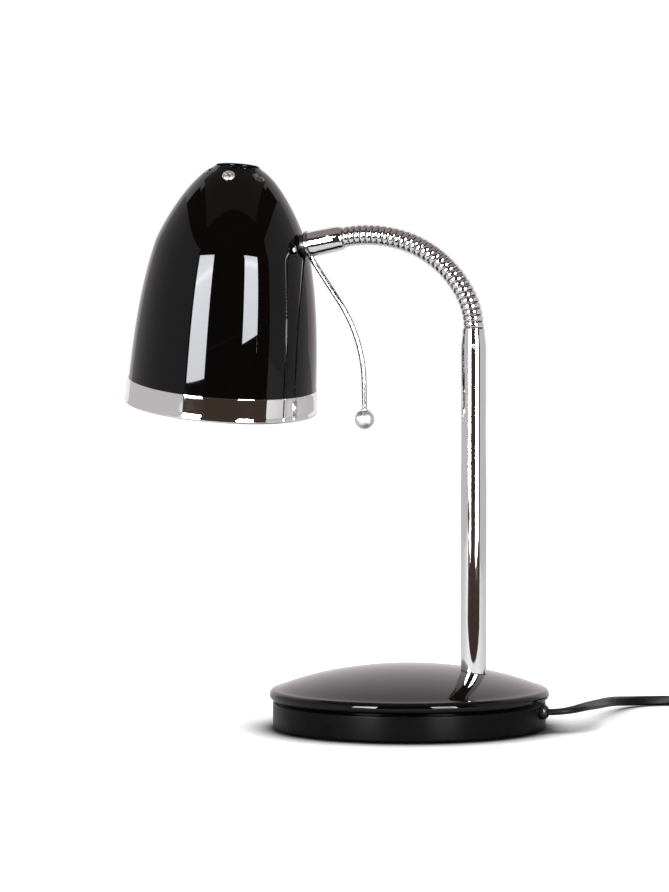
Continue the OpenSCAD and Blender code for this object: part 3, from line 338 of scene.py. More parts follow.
def shade_radius(h):
    line = shade_line()
    for a, b in zip(line, line[1:]):
        if a[1] <= h <= b[1]:
            return a[0] + (b[0] - a[0]) * (h - a[1]) / (b[1] - a[1])
    return line[0][0] if h < 0 else line[-1][0]


def shade_height(r):
    line = shade_line()
    for a, b in zip(reversed(line[:-1]), reversed(line)):
        if b[0] <= r <= a[0]:
            return b[1] + (a[1] - b[1]) * (r - b[0]) / (a[0] - b[0])
    return 0.0


def roll_about_swivel(degrees):
    drop = Sizes("lamp_neck").drop
    return turned(degrees, Vector((cos(drop), 0, sin(drop))))


def shade_matrix():
    """The rim's centre is the origin and the shade's line is Z."""
    s = Sizes("lamp_shade")
    wall = swivel_matrix(wall_place()).translation
    return (
        Matrix.Translation(wall)
        @ roll_about_swivel(s.roll)
        @ turned(s.lean, "Y")
        @ moved(-shade_radius(s.swivel_h), 0, -s.swivel_h)
    )


def on_wall(h, degrees):
    """A frame on the shade's wall, Z along the outward normal."""
    slope = math.degrees(math.atan2(shade_radius(h - 2) - shade_radius(h + 2), 4))
    return turned(degrees, "Z") @ moved(shade_radius(h), 0, h) @ turned(90 - slope, "Y")


def dome_z(r):
    b = Sizes("lamp_base")
    return b.dome_top - b.dome_b * (1 - math.sqrt(1 - (r / b.dome_a) ** 2))


# Modelling tools

def only(obj):
    """Selects one object and nothing else."""
    if bpy.context.object and bpy.context.object.mode != "OBJECT":
        bpy.ops.object.mode_set(mode="OBJECT")
    bpy.ops.object.select_all(action="DESELECT")
    obj.select_set(True)
    bpy.context.view_layer.objects.active = obj


def fresh(add, **sizes):
    """Adds a primitive with nothing else selected."""
    bpy.ops.object.select_all(action="DESELECT")
    add(**sizes)
    return bpy.context.object


def into_frame(obj, matrix=None):
    """Puts a piece modelled in millimetres in its place in the frame, its object at the origin."""
    bpy.context.view_layer.update()
    obj.data.transform(Matrix.Scale(MM, 4) @ (matrix or Matrix.Identity(4)) @ obj.matrix_world)
    obj.matrix_world = Matrix.Identity(4)
    return obj


def outward(obj):
    """Merges doubles and turns all faces outwards."""
    only(obj)
    bpy.ops.object.mode_set(mode="EDIT")
    bpy.ops.mesh.select_all(action="SELECT")
    bpy.ops.mesh.remove_doubles(threshold=0.001)
    bpy.ops.mesh.normals_make_consistent(inside=False)
    bpy.ops.mesh.select_all(action="DESELECT")
    bpy.ops.object.mode_set(mode="OBJECT")


def smooth(obj, degrees=32):
    only(obj)
    bpy.ops.object.shade_smooth_by_angle(angle=math.radians(degrees))


def rounded(corners, steps=5):
    """Outline whose corners (x, y, radius) are rounded with short arcs."""
    out = []
    n = len(corners)
    for i, corner in enumerate(corners):
        here = Vector(corner[:2])
        radius = corner[2] if len(corner) > 2 else 0
        if radius <= 0:
            out.append(tuple(here))
            continue
        a = Vector(corners[i - 1][:2]) - here
        b = Vector(corners[(i + 1) % n][:2]) - here
        half = a.angle(b) / 2
        back = min(radius / math.tan(half), a.length * 0.49, b.length * 0.49)
        start, end = here + a.normalized() * back, here + b.normalized() * back
        for k in range(steps + 1):
            t = k / steps
            out.append(tuple(start * (1 - t) ** 2 + here * 2 * t * (1 - t) + end * t * t))
    return out


def outline_mesh(name, points, closed=True):
    """A ring of points in the XZ plane, drawn as an unfilled circle whose points are then set."""
    count = max(3, len(points))
    obj = fresh(bpy.ops.mesh.primitive_circle_add, vertices=count, radius=1, fill_type="NOTHING")
    obj.name = obj.data.name = name
    for v, (x, z) in zip(obj.data.vertices, points):
        v.co = (x, 0, z)
    if not closed:
        only(obj)
        bpy.ops.object.mode_set(mode="EDIT")
        bpy.ops.mesh.select_all(action="DESELECT")
        bpy.ops.object.mode_set(mode="OBJECT")
        last = len(points) - 1
        for e in obj.data.edges:
            e.select = set(e.vertices) == {0, last}
        bpy.ops.object.mode_set(mode="EDIT")
        bpy.ops.mesh.select_mode(type="EDGE")
        bpy.ops.mesh.delete(type="EDGE")
        bpy.ops.mesh.select_mode(type="VERT")
        bpy.ops.object.mode_set(mode="OBJECT")
    return obj


def lathe(name, points, steps=128, closed=True, angle=32):
    """Turned piece: an outline of (radius, height) spun once round Z."""
    obj = outline_mesh(name, points, closed)
    only(obj)
    bpy.ops.object.mode_set(mode="EDIT")
    bpy.ops.mesh.select_all(action="SELECT")
    bpy.ops.mesh.spin(steps=steps, angle=2 * math.pi, center=(0, 0, 0), axis=(0, 0, 1), use_auto_merge=True)
    bpy.ops.mesh.select_all(action="SELECT")
    bpy.ops.mesh.remove_doubles(threshold=0.0005)
    bpy.ops.mesh.dissolve_degenerate(threshold=0.0002)
    bpy.ops.mesh.normals_make_consistent(inside=False)
    bpy.ops.mesh.select_all(action="DESELECT")
    bpy.ops.object.mode_set(mode="OBJECT")
    smooth(obj, angle)
    return obj


def cylinder(name, radius, low, high, matrix=None):
    """A plain cylinder between two heights, used for cutting."""
    obj = fresh(bpy.ops.mesh.primitive_cylinder_add, vertices=48, radius=radius, depth=high - low)
    obj.name = name
    obj.data.transform((matrix or Matrix.Identity(4)) @ moved(0, 0, (low + high) / 2))
    return obj


def cut(obj, *tools):
    """Cuts tools out of a piece and removes them."""
    for tool in tools:
        m = obj.modifiers.new("cut", "BOOLEAN")
        m.operation = "DIFFERENCE"
        m.object = tool
        m.solver = "EXACT"
        only(obj)
        bpy.ops.object.modifier_apply(modifier=m.name)
        bpy.data.objects.remove(tool)
    return obj


def tube(name, points, radius, resolution=8, radii=None):
    """Round wire along a line of points."""
    data = bpy.data.curves.new(name, "CURVE")
    data.dimensions = "3D"
    data.bevel_depth = radius
    data.bevel_resolution = resolution
    data.use_fill_caps = True
    data.twist_mode = "MINIMUM"
    line = data.splines.new("POLY")
    line.points.add(len(points) - 1)
    for i, (p, c) in enumerate(zip(line.points, points)):
        p.co = (*c, 1)
        p.radius = radii[i] if radii else 1
    obj = bpy.data.objects.new(name, data)
    bpy.context.scene.collection.objects.link(obj)
    only(obj)
    bpy.ops.object.convert(target="MESH")
    obj = bpy.context.object
    obj.name = obj.data.name = name
    return obj


def sweep(name, rings):
    """Skin over rings of points of equal count, closed at both ends."""
    n = len(rings[0])
    last = (len(rings) - 1) * n
    faces = [
        (k + i, k + (i + 1) % n, k + n + (i + 1) % n, k + n + i)
        for k in range(0, last, n) for i in range(n)
    ]
    faces += [tuple(range(n - 1, -1, -1)), tuple(last + i for i in range(n))]
    data = bpy.data.meshes.new(name)
    data.from_pydata([tuple(v) for ring in rings for v in ring], [], faces)
    obj = bpy.data.objects.new(name, data)
    bpy.context.scene.collection.objects.link(obj)
    outward(obj)
    return obj


def join(name, *objs):
    only(objs[0])
    for o in objs[1:]:
        o.select_set(True)
    bpy.ops.object.join()
    obj = bpy.context.object
    obj.name = obj.data.name = name
    return obj


def finish_piece(obj, body, slot, material, *nodes):
    """Gives a piece its material, its body and the nodes that it stands for."""
    if material is not None:
        obj.data.materials.clear()
        obj.data.materials.append(MATERIALS[material])
    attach(obj, body)
    if nodes:
        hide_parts(*nodes)
    return obj


# Materials

MATERIALS = {}


class Nodes:
    """Short names for building a node tree."""

    def __init__(self, name):
        self.material = bpy.data.materials.new(name)
        self.material.use_nodes = True
        self.tree = self.material.node_tree
        self.shader = self.tree.nodes["Principled BSDF"]
        self.place = self.tree.nodes.new("ShaderNodeTexCoord").outputs["Object"]

    def add(self, kind, **values):
        node = self.tree.nodes.new(kind)
        for key, value in values.items():
            if key in node.inputs.keys():
                node.inputs[key].default_value = value
            else:
                setattr(node, key, value)
        return node

    def link(self, a, b):
        self.tree.links.new(a, b)

    def noise(self, scale, detail=4.0, roughness=0.6):
        node = self.add("ShaderNodeTexNoise", Scale=scale, Detail=detail, Roughness=roughness)
        self.link(self.place, node.inputs["Vector"])
        return node.outputs["Fac"]

    def spread(self, value, low, high, start=0.3, end=0.7):
        """Maps a texture to a range of numbers."""
        node = self.add("ShaderNodeMapRange")
        for key, v in (("From Min", start), ("From Max", end), ("To Min", low), ("To Max", high)):
            node.inputs[key].default_value = v
        self.link(value, node.inputs["Value"])
        return node.outputs["Result"]

    def blend(self, value, a, b, start=0.3, end=0.7):
        """Mixes two colours by a texture."""
        node = self.add("ShaderNodeValToRGB")
        ramp = node.color_ramp
        ramp.elements[0].position, ramp.elements[1].position = start, end
        ramp.elements[0].color, ramp.elements[1].color = (*a, 1), (*b, 1)
        self.link(value, node.inputs["Fac"])
        return node.outputs["Color"]

    def bump(self, value, depth):
        node = self.add("ShaderNodeBump", Strength=1.0, Distance=depth)
        self.link(value, node.inputs["Height"])
        return node.outputs["Normal"]


def shade_of(c, factor):
    return tuple(min(1.0, v * factor) for v in c)


def material(name, base, rough, metallic=0.0, vary=0.12, grain=900.0, rough_scale=40.0, rough_spread=0.25,
             bump=0.0, bump_scale=1500.0, **inputs):
    """A finish whose colour, roughness and surface vary a little, as a real one's do."""
    n = Nodes(name)
    colours = n.blend(n.noise(grain), shade_of(base, 1 - vary), shade_of(base, 1 + vary))
    n.link(colours, n.shader.inputs["Base Color"])
    rough_noise = n.noise(rough_scale, detail=6)
    roughs = n.spread(rough_noise, rough * (1 - rough_spread), rough * (1 + rough_spread))
    n.link(roughs, n.shader.inputs["Roughness"])
    n.shader.inputs["Metallic"].default_value = metallic
    for key, value in inputs.items():
        n.shader.inputs[key.replace("_", " ")].default_value = value
    if bump:
        n.link(n.bump(n.noise(bump_scale, detail=3), bump), n.shader.inputs["Normal"])
    MATERIALS[name] = n.material
    return n


class LAMP_OT_finishes(bpy.types.Operator):
    """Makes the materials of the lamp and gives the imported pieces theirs"""

    bl_idname = "lamp.finishes"
    bl_label = "Finishes"

    def execute(self, context):
        f = context.scene.lamp_finish
        material("gloss_black", f.enamel, 0.02, vary=0.1, rough_scale=18, rough_spread=0.35,
                 Specular_IOR_Level=0.27)
        material("satin_black", f.satin, 0.3, vary=0.15, rough_scale=60, rough_spread=0.12,
                 bump=0.00001, bump_scale=2600, Specular_IOR_Level=0.07)
        material("chrome", f.chrome, 0.03, metallic=1.0, vary=0.02, rough_scale=30, rough_spread=0.4)
        # A darker copy of the chrome for the handle's eye and rod: painted shade, standing in for the rod's
        # darker look under these lights.
        material("rod_chrome", shade_of(f.nickel, 0.68), 0.14, metallic=1.0, vary=0.04, rough_scale=60)
        material("neck_chrome", f.chrome, 0.08, metallic=1.0, vary=0.03, rough_scale=90, rough_spread=0.4)
        material("satin_chrome", f.nickel, 0.42, metallic=1.0, vary=0.05, rough_scale=160, rough_spread=0.2,
                 bump=0.000004, bump_scale=2200)
        material("zinc_steel", (0.5, 0.5, 0.52), 0.38, metallic=1.0, vary=0.15, rough_scale=120,
                 bump=0.00001, bump_scale=900)
        material("cast_iron", (0.09, 0.088, 0.088), 0.72, metallic=0.6, vary=0.3, rough_scale=140,
                 bump=0.00009, bump_scale=700)
        material("brass", (0.62, 0.46, 0.2), 0.3, metallic=1.0, vary=0.08, rough_scale=200,
                 bump=0.000008, bump_scale=1600)
        material("felt", (0.018, 0.018, 0.019), 0.95, vary=0.5, grain=2600, rough_spread=0.05,
                 bump=0.00012, bump_scale=2400, Sheen_Weight=0.35, Sheen_Roughness=0.5)
        material("black_plastic", f.plastic, 0.32, vary=0.12, rough_scale=220, rough_spread=0.15,
                 bump=0.00002, bump_scale=2600)
        material("lead_black", f.lead, 0.46, vary=0.15, rough_scale=180, rough_spread=0.15,
                 bump=0.000015, bump_scale=1500, Specular_IOR_Level=0.2)
        material("bakelite", (0.022, 0.019, 0.018), 0.28, vary=0.25, grain=420, rough_scale=120,
                 bump=0.00001, bump_scale=900)
        material("bulb_white", (0.88, 0.87, 0.845), 0.16, vary=0.01, rough_scale=60,
                 Subsurface_Weight=0.15, Coat_Weight=0.6, Coat_Roughness=0.05)
        material("bulb_cap_metal", (0.66, 0.66, 0.65), 0.3, metallic=1.0, vary=0.08, rough_scale=200)
        material("white_lining", f.lining, 0.3, vary=0.015, rough_scale=30, bump=0.000006, bump_scale=300)
        # Dark metal for the fine inner wire and the core of the neck: real pieces, but their near-black
        # colour is painted shade that darkens the grooves.
        material("wire_core", (0.05, 0.046, 0.046), 0.4, metallic=1.0, vary=0.15, rough_scale=300)
        # Near black for the thin ring at the stem's foot: painted shade along the line where the stem meets
        # the dome.
        material("seal_black", (0.006, 0.006, 0.006), 0.6, vary=0.3, rough_scale=300, bump=0.00001)
        for name, node in NODES.items():
            slot = next(s["material_slot"] for s in frame["record"]["subparts"] if s["node"] == name)
            node.data.materials.clear()
            node.data.materials.append(MATERIALS[slot])
        return {"FINISHED"}


# Pieces

class LAMP_OT_base(bpy.types.Operator):
    """Builds the domed cover with its rolled edge, the skirt and the lead's grommet"""

    bl_idname = "lamp.base"
    bl_label = "Base"

    def execute(self, context):
        b, stem = Sizes("lamp_base"), Sizes("lamp_stem")
        edge_r = b.cover_d / 2 - b.bead_r
        inner = edge_r - b.bead_r + 0.6
        steps = 36
        top = [(edge_r * i / steps, dome_z(edge_r * i / steps)) for i in range(steps)]
        bead = [(edge_r + b.bead_r * cos(a), b.bead_z + b.bead_r * sin(a)) for a in range(86, -91, -8)]
        foot = [(edge_r - 1.4, b.bead_z - b.bead_r - 0.1), (edge_r - 1.6, b.skirt_top + 0.1),
                (inner, b.skirt_top + 0.1), (inner, dome_z(inner) - b.cover_wall)]
        under = [(inner * i / 8, dome_z(inner * i / 8) - b.cover_wall) for i in range(7, -1, -1)]
        cover = lathe("base_cover_shell", top + bead + foot + under, steps=192, closed=False, angle=40)
        hole = cylinder("hole", stem.tube_d / 2 - 2.5, 0, 60, moved(stem.place, 0, 0))
        cut(cover, hole)
        smooth(cover, 40)
        finish_piece(into_frame(cover), "base", "gloss_black", "gloss_black", "base_cover")

        r = b.cover_d / 2 - b.skirt_in
        wall_in = r - b.skirt_wall
        z0 = b.pad_t - 0.2
        skirt = lathe("base_skirt_ring", rounded([
            (r - 0.2, z0, 0.3), (r, z0 + 1.2, 0.6), (r, b.skirt_top, 0.8), (r - 6, b.skirt_top, 0.3),
            (r - 6, b.skirt_top - 1.6), (wall_in, b.skirt_top - 1.6), (wall_in, 4.4), (72, 4.4), (72, 2.8),
            (wall_in, 2.8), (wall_in, z0, 0.2)]), steps=192, angle=40)
        along_x = moved(0, 0, b.grommet_z) @ turned(90, "Y")
        cut(skirt, cylinder("hole", b.grommet_d / 2 - 0.9, r - 5, r + 3, along_x))
        smooth(skirt, 40)
        finish_piece(into_frame(skirt), "base", "satin_black", "satin_black", "base_skirt")

        g = b.grommet_d / 2
        bore_r, barb_r, groove_r = 2.0, g - 0.65, g - 1.05
        out = [(bore_r, r - 4.2), (barb_r, r - 4.2), (barb_r, r - 2.75), (groove_r, r - 2.7),
               (groove_r, r + 0.1), (g, r + 0.1), (g, r + 0.7)]
        out += [(g * cos(a) if a < 60 else g * cos(a) + 0.2, r + 0.9 + 3.9 * sin(a)) for a in range(8, 62, 9)]
        out += [(2.35, r + 4.2), (2.1, r + 3.6)]
        grommet = lathe("lead_grommet", out, steps=64, angle=40)
        finish_piece(into_frame(grommet, along_x), "base", "black_plastic", "black_plastic", "cord_grommet")
        return {"FINISHED"}


class LAMP_OT_stem(bpy.types.Operator):
    """Builds the stem tube, coped to the dome at its foot and rolled in at its top"""

    bl_idname = "lamp.stem"
    bl_label = "Stem"

    def execute(self, context):
        s, neck = Sizes("lamp_stem"), Sizes("lamp_neck")
        r, wall = s.tube_d / 2, s.wall
        low = s.top - s.crimp_l
        lip = neck.neck_d / 2 + 0.15
        foot = 22.0
        line = [(r, foot)] + [(r, foot + (low - foot) * i / 24) for i in range(1, 24)]
        rolled_in = [(0, 0), (0.06, 1.6), (0.3, 3.6), (0.62, 6), (0.92, 8.6)]
        line += [(r - inwards, low + up) for inwards, up in rolled_in]
        line += rounded([(s.crimp_d / 2 + 0.28, s.top - 1.6), (s.crimp_d / 2 + 0.1, s.top - 0.05, 0.5),
                         (lip, s.top, 0.3), (lip, s.top - 2.4)])[1:]
        line += [(r - wall - 0.3, low + 3), (r - wall, low), (r - wall, foot)]
        stem = lathe("stem_pipe", line, steps=96, angle=50)
        across = moved(0, 0, s.top - s.grub_drop) @ turned(s.grub_turn, "Z") @ turned(90, "Y")
        cut(stem, cylinder("hole", 1.75, r - 2.6, r + 2, across))
        for v in stem.data.vertices:
            if v.co.z < foot + 0.01:
                v.co.z = dome_z(math.hypot(v.co.x + s.place, v.co.y)) + 0.14
        smooth(stem, 50)
        finish_piece(into_frame(stem, moved(s.place, 0, 0)), "base", "chrome", "chrome", "stem_tube")

        # A thin near-black ring round the stem's foot: painted shade along the line where the stem meets the
        # dome.
        foot_shade_ring = lathe("stem_seal", rounded([
            (r - 1.6, -2), (r + 0.1, -2), (r + 0.1, 0.3, 0.15), (r - 0.7, 0.6)]), steps=96)
        for v in foot_shade_ring.data.vertices:
            v.co.z += dome_z(math.hypot(v.co.x + s.place, v.co.y))
        finish_piece(into_frame(foot_shade_ring, moved(s.place, 0, 0)), "base", "black_plastic", "seal_black")

        screw = lathe("stem_set_screw", rounded([
            (0, -2.2), (1.5, -2.2), (1.5, 0, 0.3), (0.8, 0, 0.1), (0.7, -1.0), (0, -1.0)]),
            steps=24, closed=False)
        screw_place = moved(s.place, 0, 0) @ across @ moved(0, 0, r - 0.75)
        finish_piece(into_frame(screw, screw_place), "base", "zinc_steel", "zinc_steel", "stem_grub_screw")
        return {"FINISHED"}


class LAMP_OT_neck(bpy.types.Operator):
    """Winds the neck: a crowned wire over a fine one, in one length for each link of the chain"""

    bl_idname = "lamp.neck"
    bl_label = "Flexible neck"

    points_per_turn = 40
    tuck = 0.6

    def spiral(self, t0, t1, offset=0.0):
        """Places along the winding, each with the neck's direction and the way outwards."""
        n = Sizes("lamp_neck")
        pitch = neck_length() / (n.turns_per_link * n.links)
        steps = max(4, round((t1 - t0) * self.points_per_turn))
        for i in range(steps + 1):
            t = t0 + (t1 - t0) * i / steps
            place, h = neck_at((t + offset) * pitch)
            a = t * 2 * math.pi
            out = Vector((-math.cos(a) * cos(h), math.sin(a), -math.cos(a) * sin(h)))
            yield place, Vector((-sin(h), 0, cos(h))), out

    def rib(self, n):
        """Section of the outer wire: along the neck, and depth below its surface."""
        half, crown = n.rib_w / 2, n.crown_r
        flat = half - 0.2
        top = [(flat * i / 5, crown - math.sqrt(crown ** 2 - (flat * i / 5) ** 2)) for i in range(-5, 6)]
        edge = top[-1][1]
        side = [(half - 0.05, edge + 0.18), (half, edge + 0.45), (half, n.rib_t)]
        return top + side + [(-u, v) for u, v in reversed(side)]

    def execute(self, context):
        n = Sizes("lamp_neck")
        total = neck_length()
        link = total / n.links
        per = n.turns_per_link
        r = n.neck_d / 2
        r_fine = r - n.groove - n.fine_d / 2
        section = self.rib(n)
        for k in range(1, n.links + 1):
            s0, s1 = (k - 1) * link, k * link
            t0, t1 = s0 / link * per - (k == 1) * self.tuck, s1 / link * per + (k == n.links) * self.tuck
            name = f"neck_winding_{k:02d}"
            wire = sweep(name, [[p + way * u + out * (r - v) for u, v in section]
                                for p, way, out in self.spiral(t0, t1)])
            between = self.spiral(t0, t1, 0.5)
            fine = tube("fine", [p + out * r_fine for p, way, out in between], n.fine_d / 2, 3)
            core = tube("core", [neck_at(s0 + (s1 - s0) * i / 6)[0] for i in range(7)], r_fine, 8)
            wire.data.materials.append(MATERIALS["neck_chrome"])
            # The fine wire and the core are near black, which paints shade into the grooves between the
            # turns.
            fine.data.materials.append(MATERIALS["wire_core"])
            core.data.materials.append(MATERIALS["wire_core"])
            piece = join(name, wire, fine, core)
            smooth(piece, 50)
            into_frame(piece)
            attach(piece, "base" if k == 1 else "neck_tip" if k == n.links else f"neck_{k:02d}")
            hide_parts(f"neck_link_{k:02d}")
        return {"FINISHED"}


class LAMP_OT_handle(bpy.types.Operator):
    """Builds the ferrule, the eye and rod of the handle and its ball"""

    bl_idname = "lamp.handle"
    bl_label = "Swivel and handle"

    def rod_line(self, h, drop):
        steps = [(h.kick_r, h.kick), (h.straight, 0), (h.bend_r, -(drop + h.kick)), (h.fall, 0)]
        x = z = a = 0.0
        out = [(x, z)]
        for size, degrees in steps:
            if degrees == 0:
                n = 6
                out += [(x + size * i / n * sin(a), z + size * i / n * cos(a)) for i in range(1, n + 1)]
            else:
                n = max(4, round(abs(degrees) / 2))
                side = math.copysign(1, degrees)
                for i in range(1, n + 1):
                    b = a + degrees * i / n
                    out.append((x + side * size * (cos(a) - cos(b)), z + side * size * (sin(b) - sin(a))))
                a += degrees
            x, z = out[-1]
        return out, a

    def execute(self, context):
        h, neck = Sizes("lamp_handle"), Sizes("lamp_neck")
        end_r, f_r, high = h.ferrule_end_d / 2, h.ferrule_d / 2, h.ferrule_l
        bore_r = 2.6
        ferrule = lathe("neck_ferrule_sleeve", rounded([
            (bore_r, 0.1), (end_r - 0.4, 0.1, 0.15), (end_r, 0.7, 0.3), (end_r + 0.45, 2.6, 2),
            (f_r - 0.28, 5.5, 4), (f_r, high - 5, 6), (f_r, high - 0.7, 0.4), (f_r - 0.6, high, 0.3),
            (bore_r, high)]), steps=96, angle=40)
        mark = turned(-75, "Z") @ moved(f_r + 0.45, 0, high * 0.36)
        punch = fresh(bpy.ops.mesh.primitive_uv_sphere_add, segments=32, ring_count=16, radius=1.3)
        punch.data.transform(mark)
        cut(ferrule, punch)
        smooth(ferrule, 40)
        finish_piece(into_frame(ferrule, swivel_matrix(0)), "neck_tip", "chrome", "chrome", "neck_ferrule")

        wall = swivel_matrix(wall_place()).translation
        middle = swivel_matrix(eye_place() + h.eye_t / 2).translation
        eye_r, hole_r, half = h.eye_d / 2, h.eye_hole / 2, h.eye_t / 2
        eye = lathe("handle_eye", rounded([
            (hole_r, -half, 0.3), (eye_r, -half, 0.8), (eye_r, half, 0.8), (hole_r, half, 0.3)]),
            steps=96, angle=50)
        spin_in = Matrix.Translation(middle) @ turned(-90 - neck.drop, "Y")
        eye.data.transform(spin_in)
        line, heading = self.rod_line(h, neck.drop)
        rod_in = (
            Matrix.Translation(wall) @ roll_about_swivel(h.roll) @ Matrix.Translation(middle - wall)
            @ turned(180 - neck.drop, "Y") @ Matrix.Diagonal((-1, 1, 1, 1))
            @ moved(0, 0, h.rod_start)
        )
        points = [rod_in @ Vector((x, 0, z)) for x, z in line]
        flat = [rod_in @ Vector((0, 0, -2.4)), rod_in @ Vector((0, 0, -1))]
        line_points = flat + points
        gone = [(p - line_points[0]).length for p in line_points]
        swell = [1 + 0.45 * max(0, 1 - d / h.tail) if d < h.tail * 1.4 else 1 for d in gone]
        rod = tube("rod", line_points, h.rod_d / 2, 10, radii=swell)
        rod = join("handle_bar", rod, eye)
        smooth(rod, 50)
        # The eye and rod take the darkened copy of the chrome, which paints shade into them.
        finish_piece(into_frame(rod), "head", "chrome", "rod_chrome", "handle_rod")

        r = h.ball_d / 2
        ring = h.rod_d / 2
        ball = [(0, r + r - 1)]
        ball += [(r * sin(a), r - 1 + r * cos(a)) for a in range(6, 157, 5)]
        ball += rounded([(ring + 0.95, -0.6, 0.2), (ring + 0.85, -1.4, 0.35), (ring + 0.08, -1.4)])
        ball += [(ring + 0.08, 0.1), (0, 0.1)]
        knob = lathe("handle_knob", ball, steps=64, closed=False, angle=50)
        x, z = line[-1]
        at_end = rod_in @ moved(x, 0, z) @ turned(heading, "Y")
        knob.data.transform(at_end)
        outward(knob)
        finish_piece(into_frame(knob), "head", "satin_chrome", "satin_chrome", "handle_ball")
        return {"FINISHED"}


class LAMP_OT_shade(bpy.types.Operator):
    """Builds the shade with its vents, the lining inside it, the bright band and the screws"""

    bl_idname = "lamp.shade"
    bl_label = "Shade"

    vent_turns = (-150, -30, 30, 150)
    screw_turns = (-90, 90)

    def inset(self, line, t):
        out = []
        for i, p in enumerate(line):
            d = (line[min(i + 1, len(line) - 1)] - line[max(i - 1, 0)]).normalized()
            out.append(p + t * Vector((-d[1], d[0])))
        return out

    def holes(self, s, depth):
        h = shade_height(s.vent_r)
        out = [cylinder("hole", s.vent_d / 2, -depth, depth, on_wall(h, a)) for a in self.vent_turns]
        out += [cylinder("hole", 2.2, -depth, depth, on_wall(h, a)) for a in self.screw_turns]
        swing = Sizes("lamp_neck").drop + s.lean
        across = moved(shade_radius(s.swivel_h), 0, s.swivel_h) @ turned(-90 - swing, "Y")
        return out + [cylinder("hole", 4.3, -8, 10, across)]

    def execute(self, context):
        s = Sizes("lamp_shade")
        place = shade_matrix()
        line = shade_line(36)
        lip_r = 1.0
        top = Vector((s.top_d / 2, s.height))
        curl = [top + Vector((lip_r * cos(a), lip_r * sin(a) - 0.2)) for a in range(70, -200, -18)]
        body = line[:-2] + curl + list(reversed(self.inset(line, s.wall * 0.6)[:-2]))
        shell = lathe("shade_shell", [tuple(p) for p in body], steps=192, angle=50)
        cut(shell, *self.holes(s, 6))
        smooth(shell, 50)
        finish_piece(into_frame(shell, place), "head", "gloss_black", "gloss_black", "shade")

        out_line = self.inset(line, s.wall * 0.6)[1:-4]
        in_line = self.inset(line, s.wall)[1:-4]
        both_sides = [tuple(p) for p in out_line + list(reversed(in_line))]
        lining = lathe("shade_lining", both_sides, steps=160, angle=50)
        cut(lining, *self.holes(s, 6))
        smooth(lining, 50)
        finish_piece(into_frame(lining, place), "head", "gloss_black", "white_lining")

        rim = s.rim_d / 2
        t = s.band_t
        n = 8
        side = [(shade_radius(s.band_h * i / n) + t + 0.1, s.band_h * i / n) for i in range(1, n)]
        edge = s.band_h
        edge_r = shade_radius(edge)
        side += rounded([(edge_r + t + 0.1, edge - 0.5), (edge_r + t + 0.1, edge, 0.3),
                         (edge_r + 0.1, edge), (edge_r + 0.1, edge - 1)])[1:]
        inner = [(shade_radius(s.band_h * i / n) + 0.08, s.band_h * i / n) for i in range(n - 1, -1, -1)]
        lip_in, lip_out = rim - s.wall, rim + t
        lip = [(lip_in - 0.6, -0.12), (lip_in - 0.75, -0.5), (lip_in - 0.5, -0.85), (rim - 0.2, -1.05)]
        lip += [(rim + t * 0.6, -0.95), (lip_out + 0.35, -0.55), (lip_out + 0.55, 0.1),
                (lip_out + 0.45, 0.75), (lip_out + 0.15, 1.25)]
        band = lathe("shade_rim_band", side + inner + lip, steps=192, angle=60)
        finish_piece(into_frame(band, place), "head", "chrome", "chrome", "shade_band")

        h = shade_height(s.vent_r)
        r = s.screw_head / 2
        heads = []
        for a in self.screw_turns:
            profile = [(0, -4), (1.95, -4), (1.95, 0.05), (r, 0.05), (r, 0.3)]
            profile += [(r * math.sqrt(1 - (i / 8) ** 2), 0.3 + 2.0 * i / 8) for i in range(1, 8)]
            profile.append((0, 2.3))
            head = lathe("screw", profile, steps=48, closed=False, angle=50)
            for angle in (0, 90):
                slot = fresh(bpy.ops.mesh.primitive_cube_add, size=1)
                slot.data.transform(moved(0, 0, 2.2) @ turned(angle + 20, "Z")
                                    @ Matrix.Diagonal((3.8, 0.8, 1.6, 1)))
                cut(head, slot)
            head.data.transform(on_wall(h, a))
            heads.append(head)
        screws = join("shade_holder_screws", *heads)
        smooth(screws, 40)
        finish_piece(into_frame(screws, place), "head", "satin_chrome", "satin_chrome", "holder_screws")
        return {"FINISHED"}


class LAMP_OT_bulb(bpy.types.Operator):
    """Builds the opal glass of the bulb, hung below the lampholder inside the shade"""

    bl_idname = "lamp.bulb"
    bl_label = "Bulb and holder"

    def execute(self, context):
        s, b = Sizes("lamp_shade"), Sizes("lamp_bulb")
        place = shade_matrix()
        strip_top = shade_height(s.vent_r) - 2.4
        holder_top = strip_top - 1.3
        mouth = holder_top - b.holder_l
        cap_z = mouth + 1.5
        top = cap_z + 1.5
        tip = top - b.bulb_l
        r = b.bulb_d / 2
        neck = b.cap_d / 2 - 1.2
        line = [(r * cos(a), tip + r * (1 + sin(a))) for a in range(-90, 21, 5)]
        start = Vector(line[-1])
        p = [start, (r * 0.86, tip + r * 1.74), (neck + 1, top - 28), (neck, cap_z - 0.1)]
        line += [tuple(bezier(p, i / 14)) for i in range(1, 15)] + [(0, cap_z - 0.1)]
        line[0] = (0, tip)
        glass = lathe("bulb_envelope", line, steps=96, closed=False, angle=60)
        finish_piece(into_frame(glass, place), "head", "bulb_white", "bulb_white", "bulb_glass")
        return {"FINISHED"}


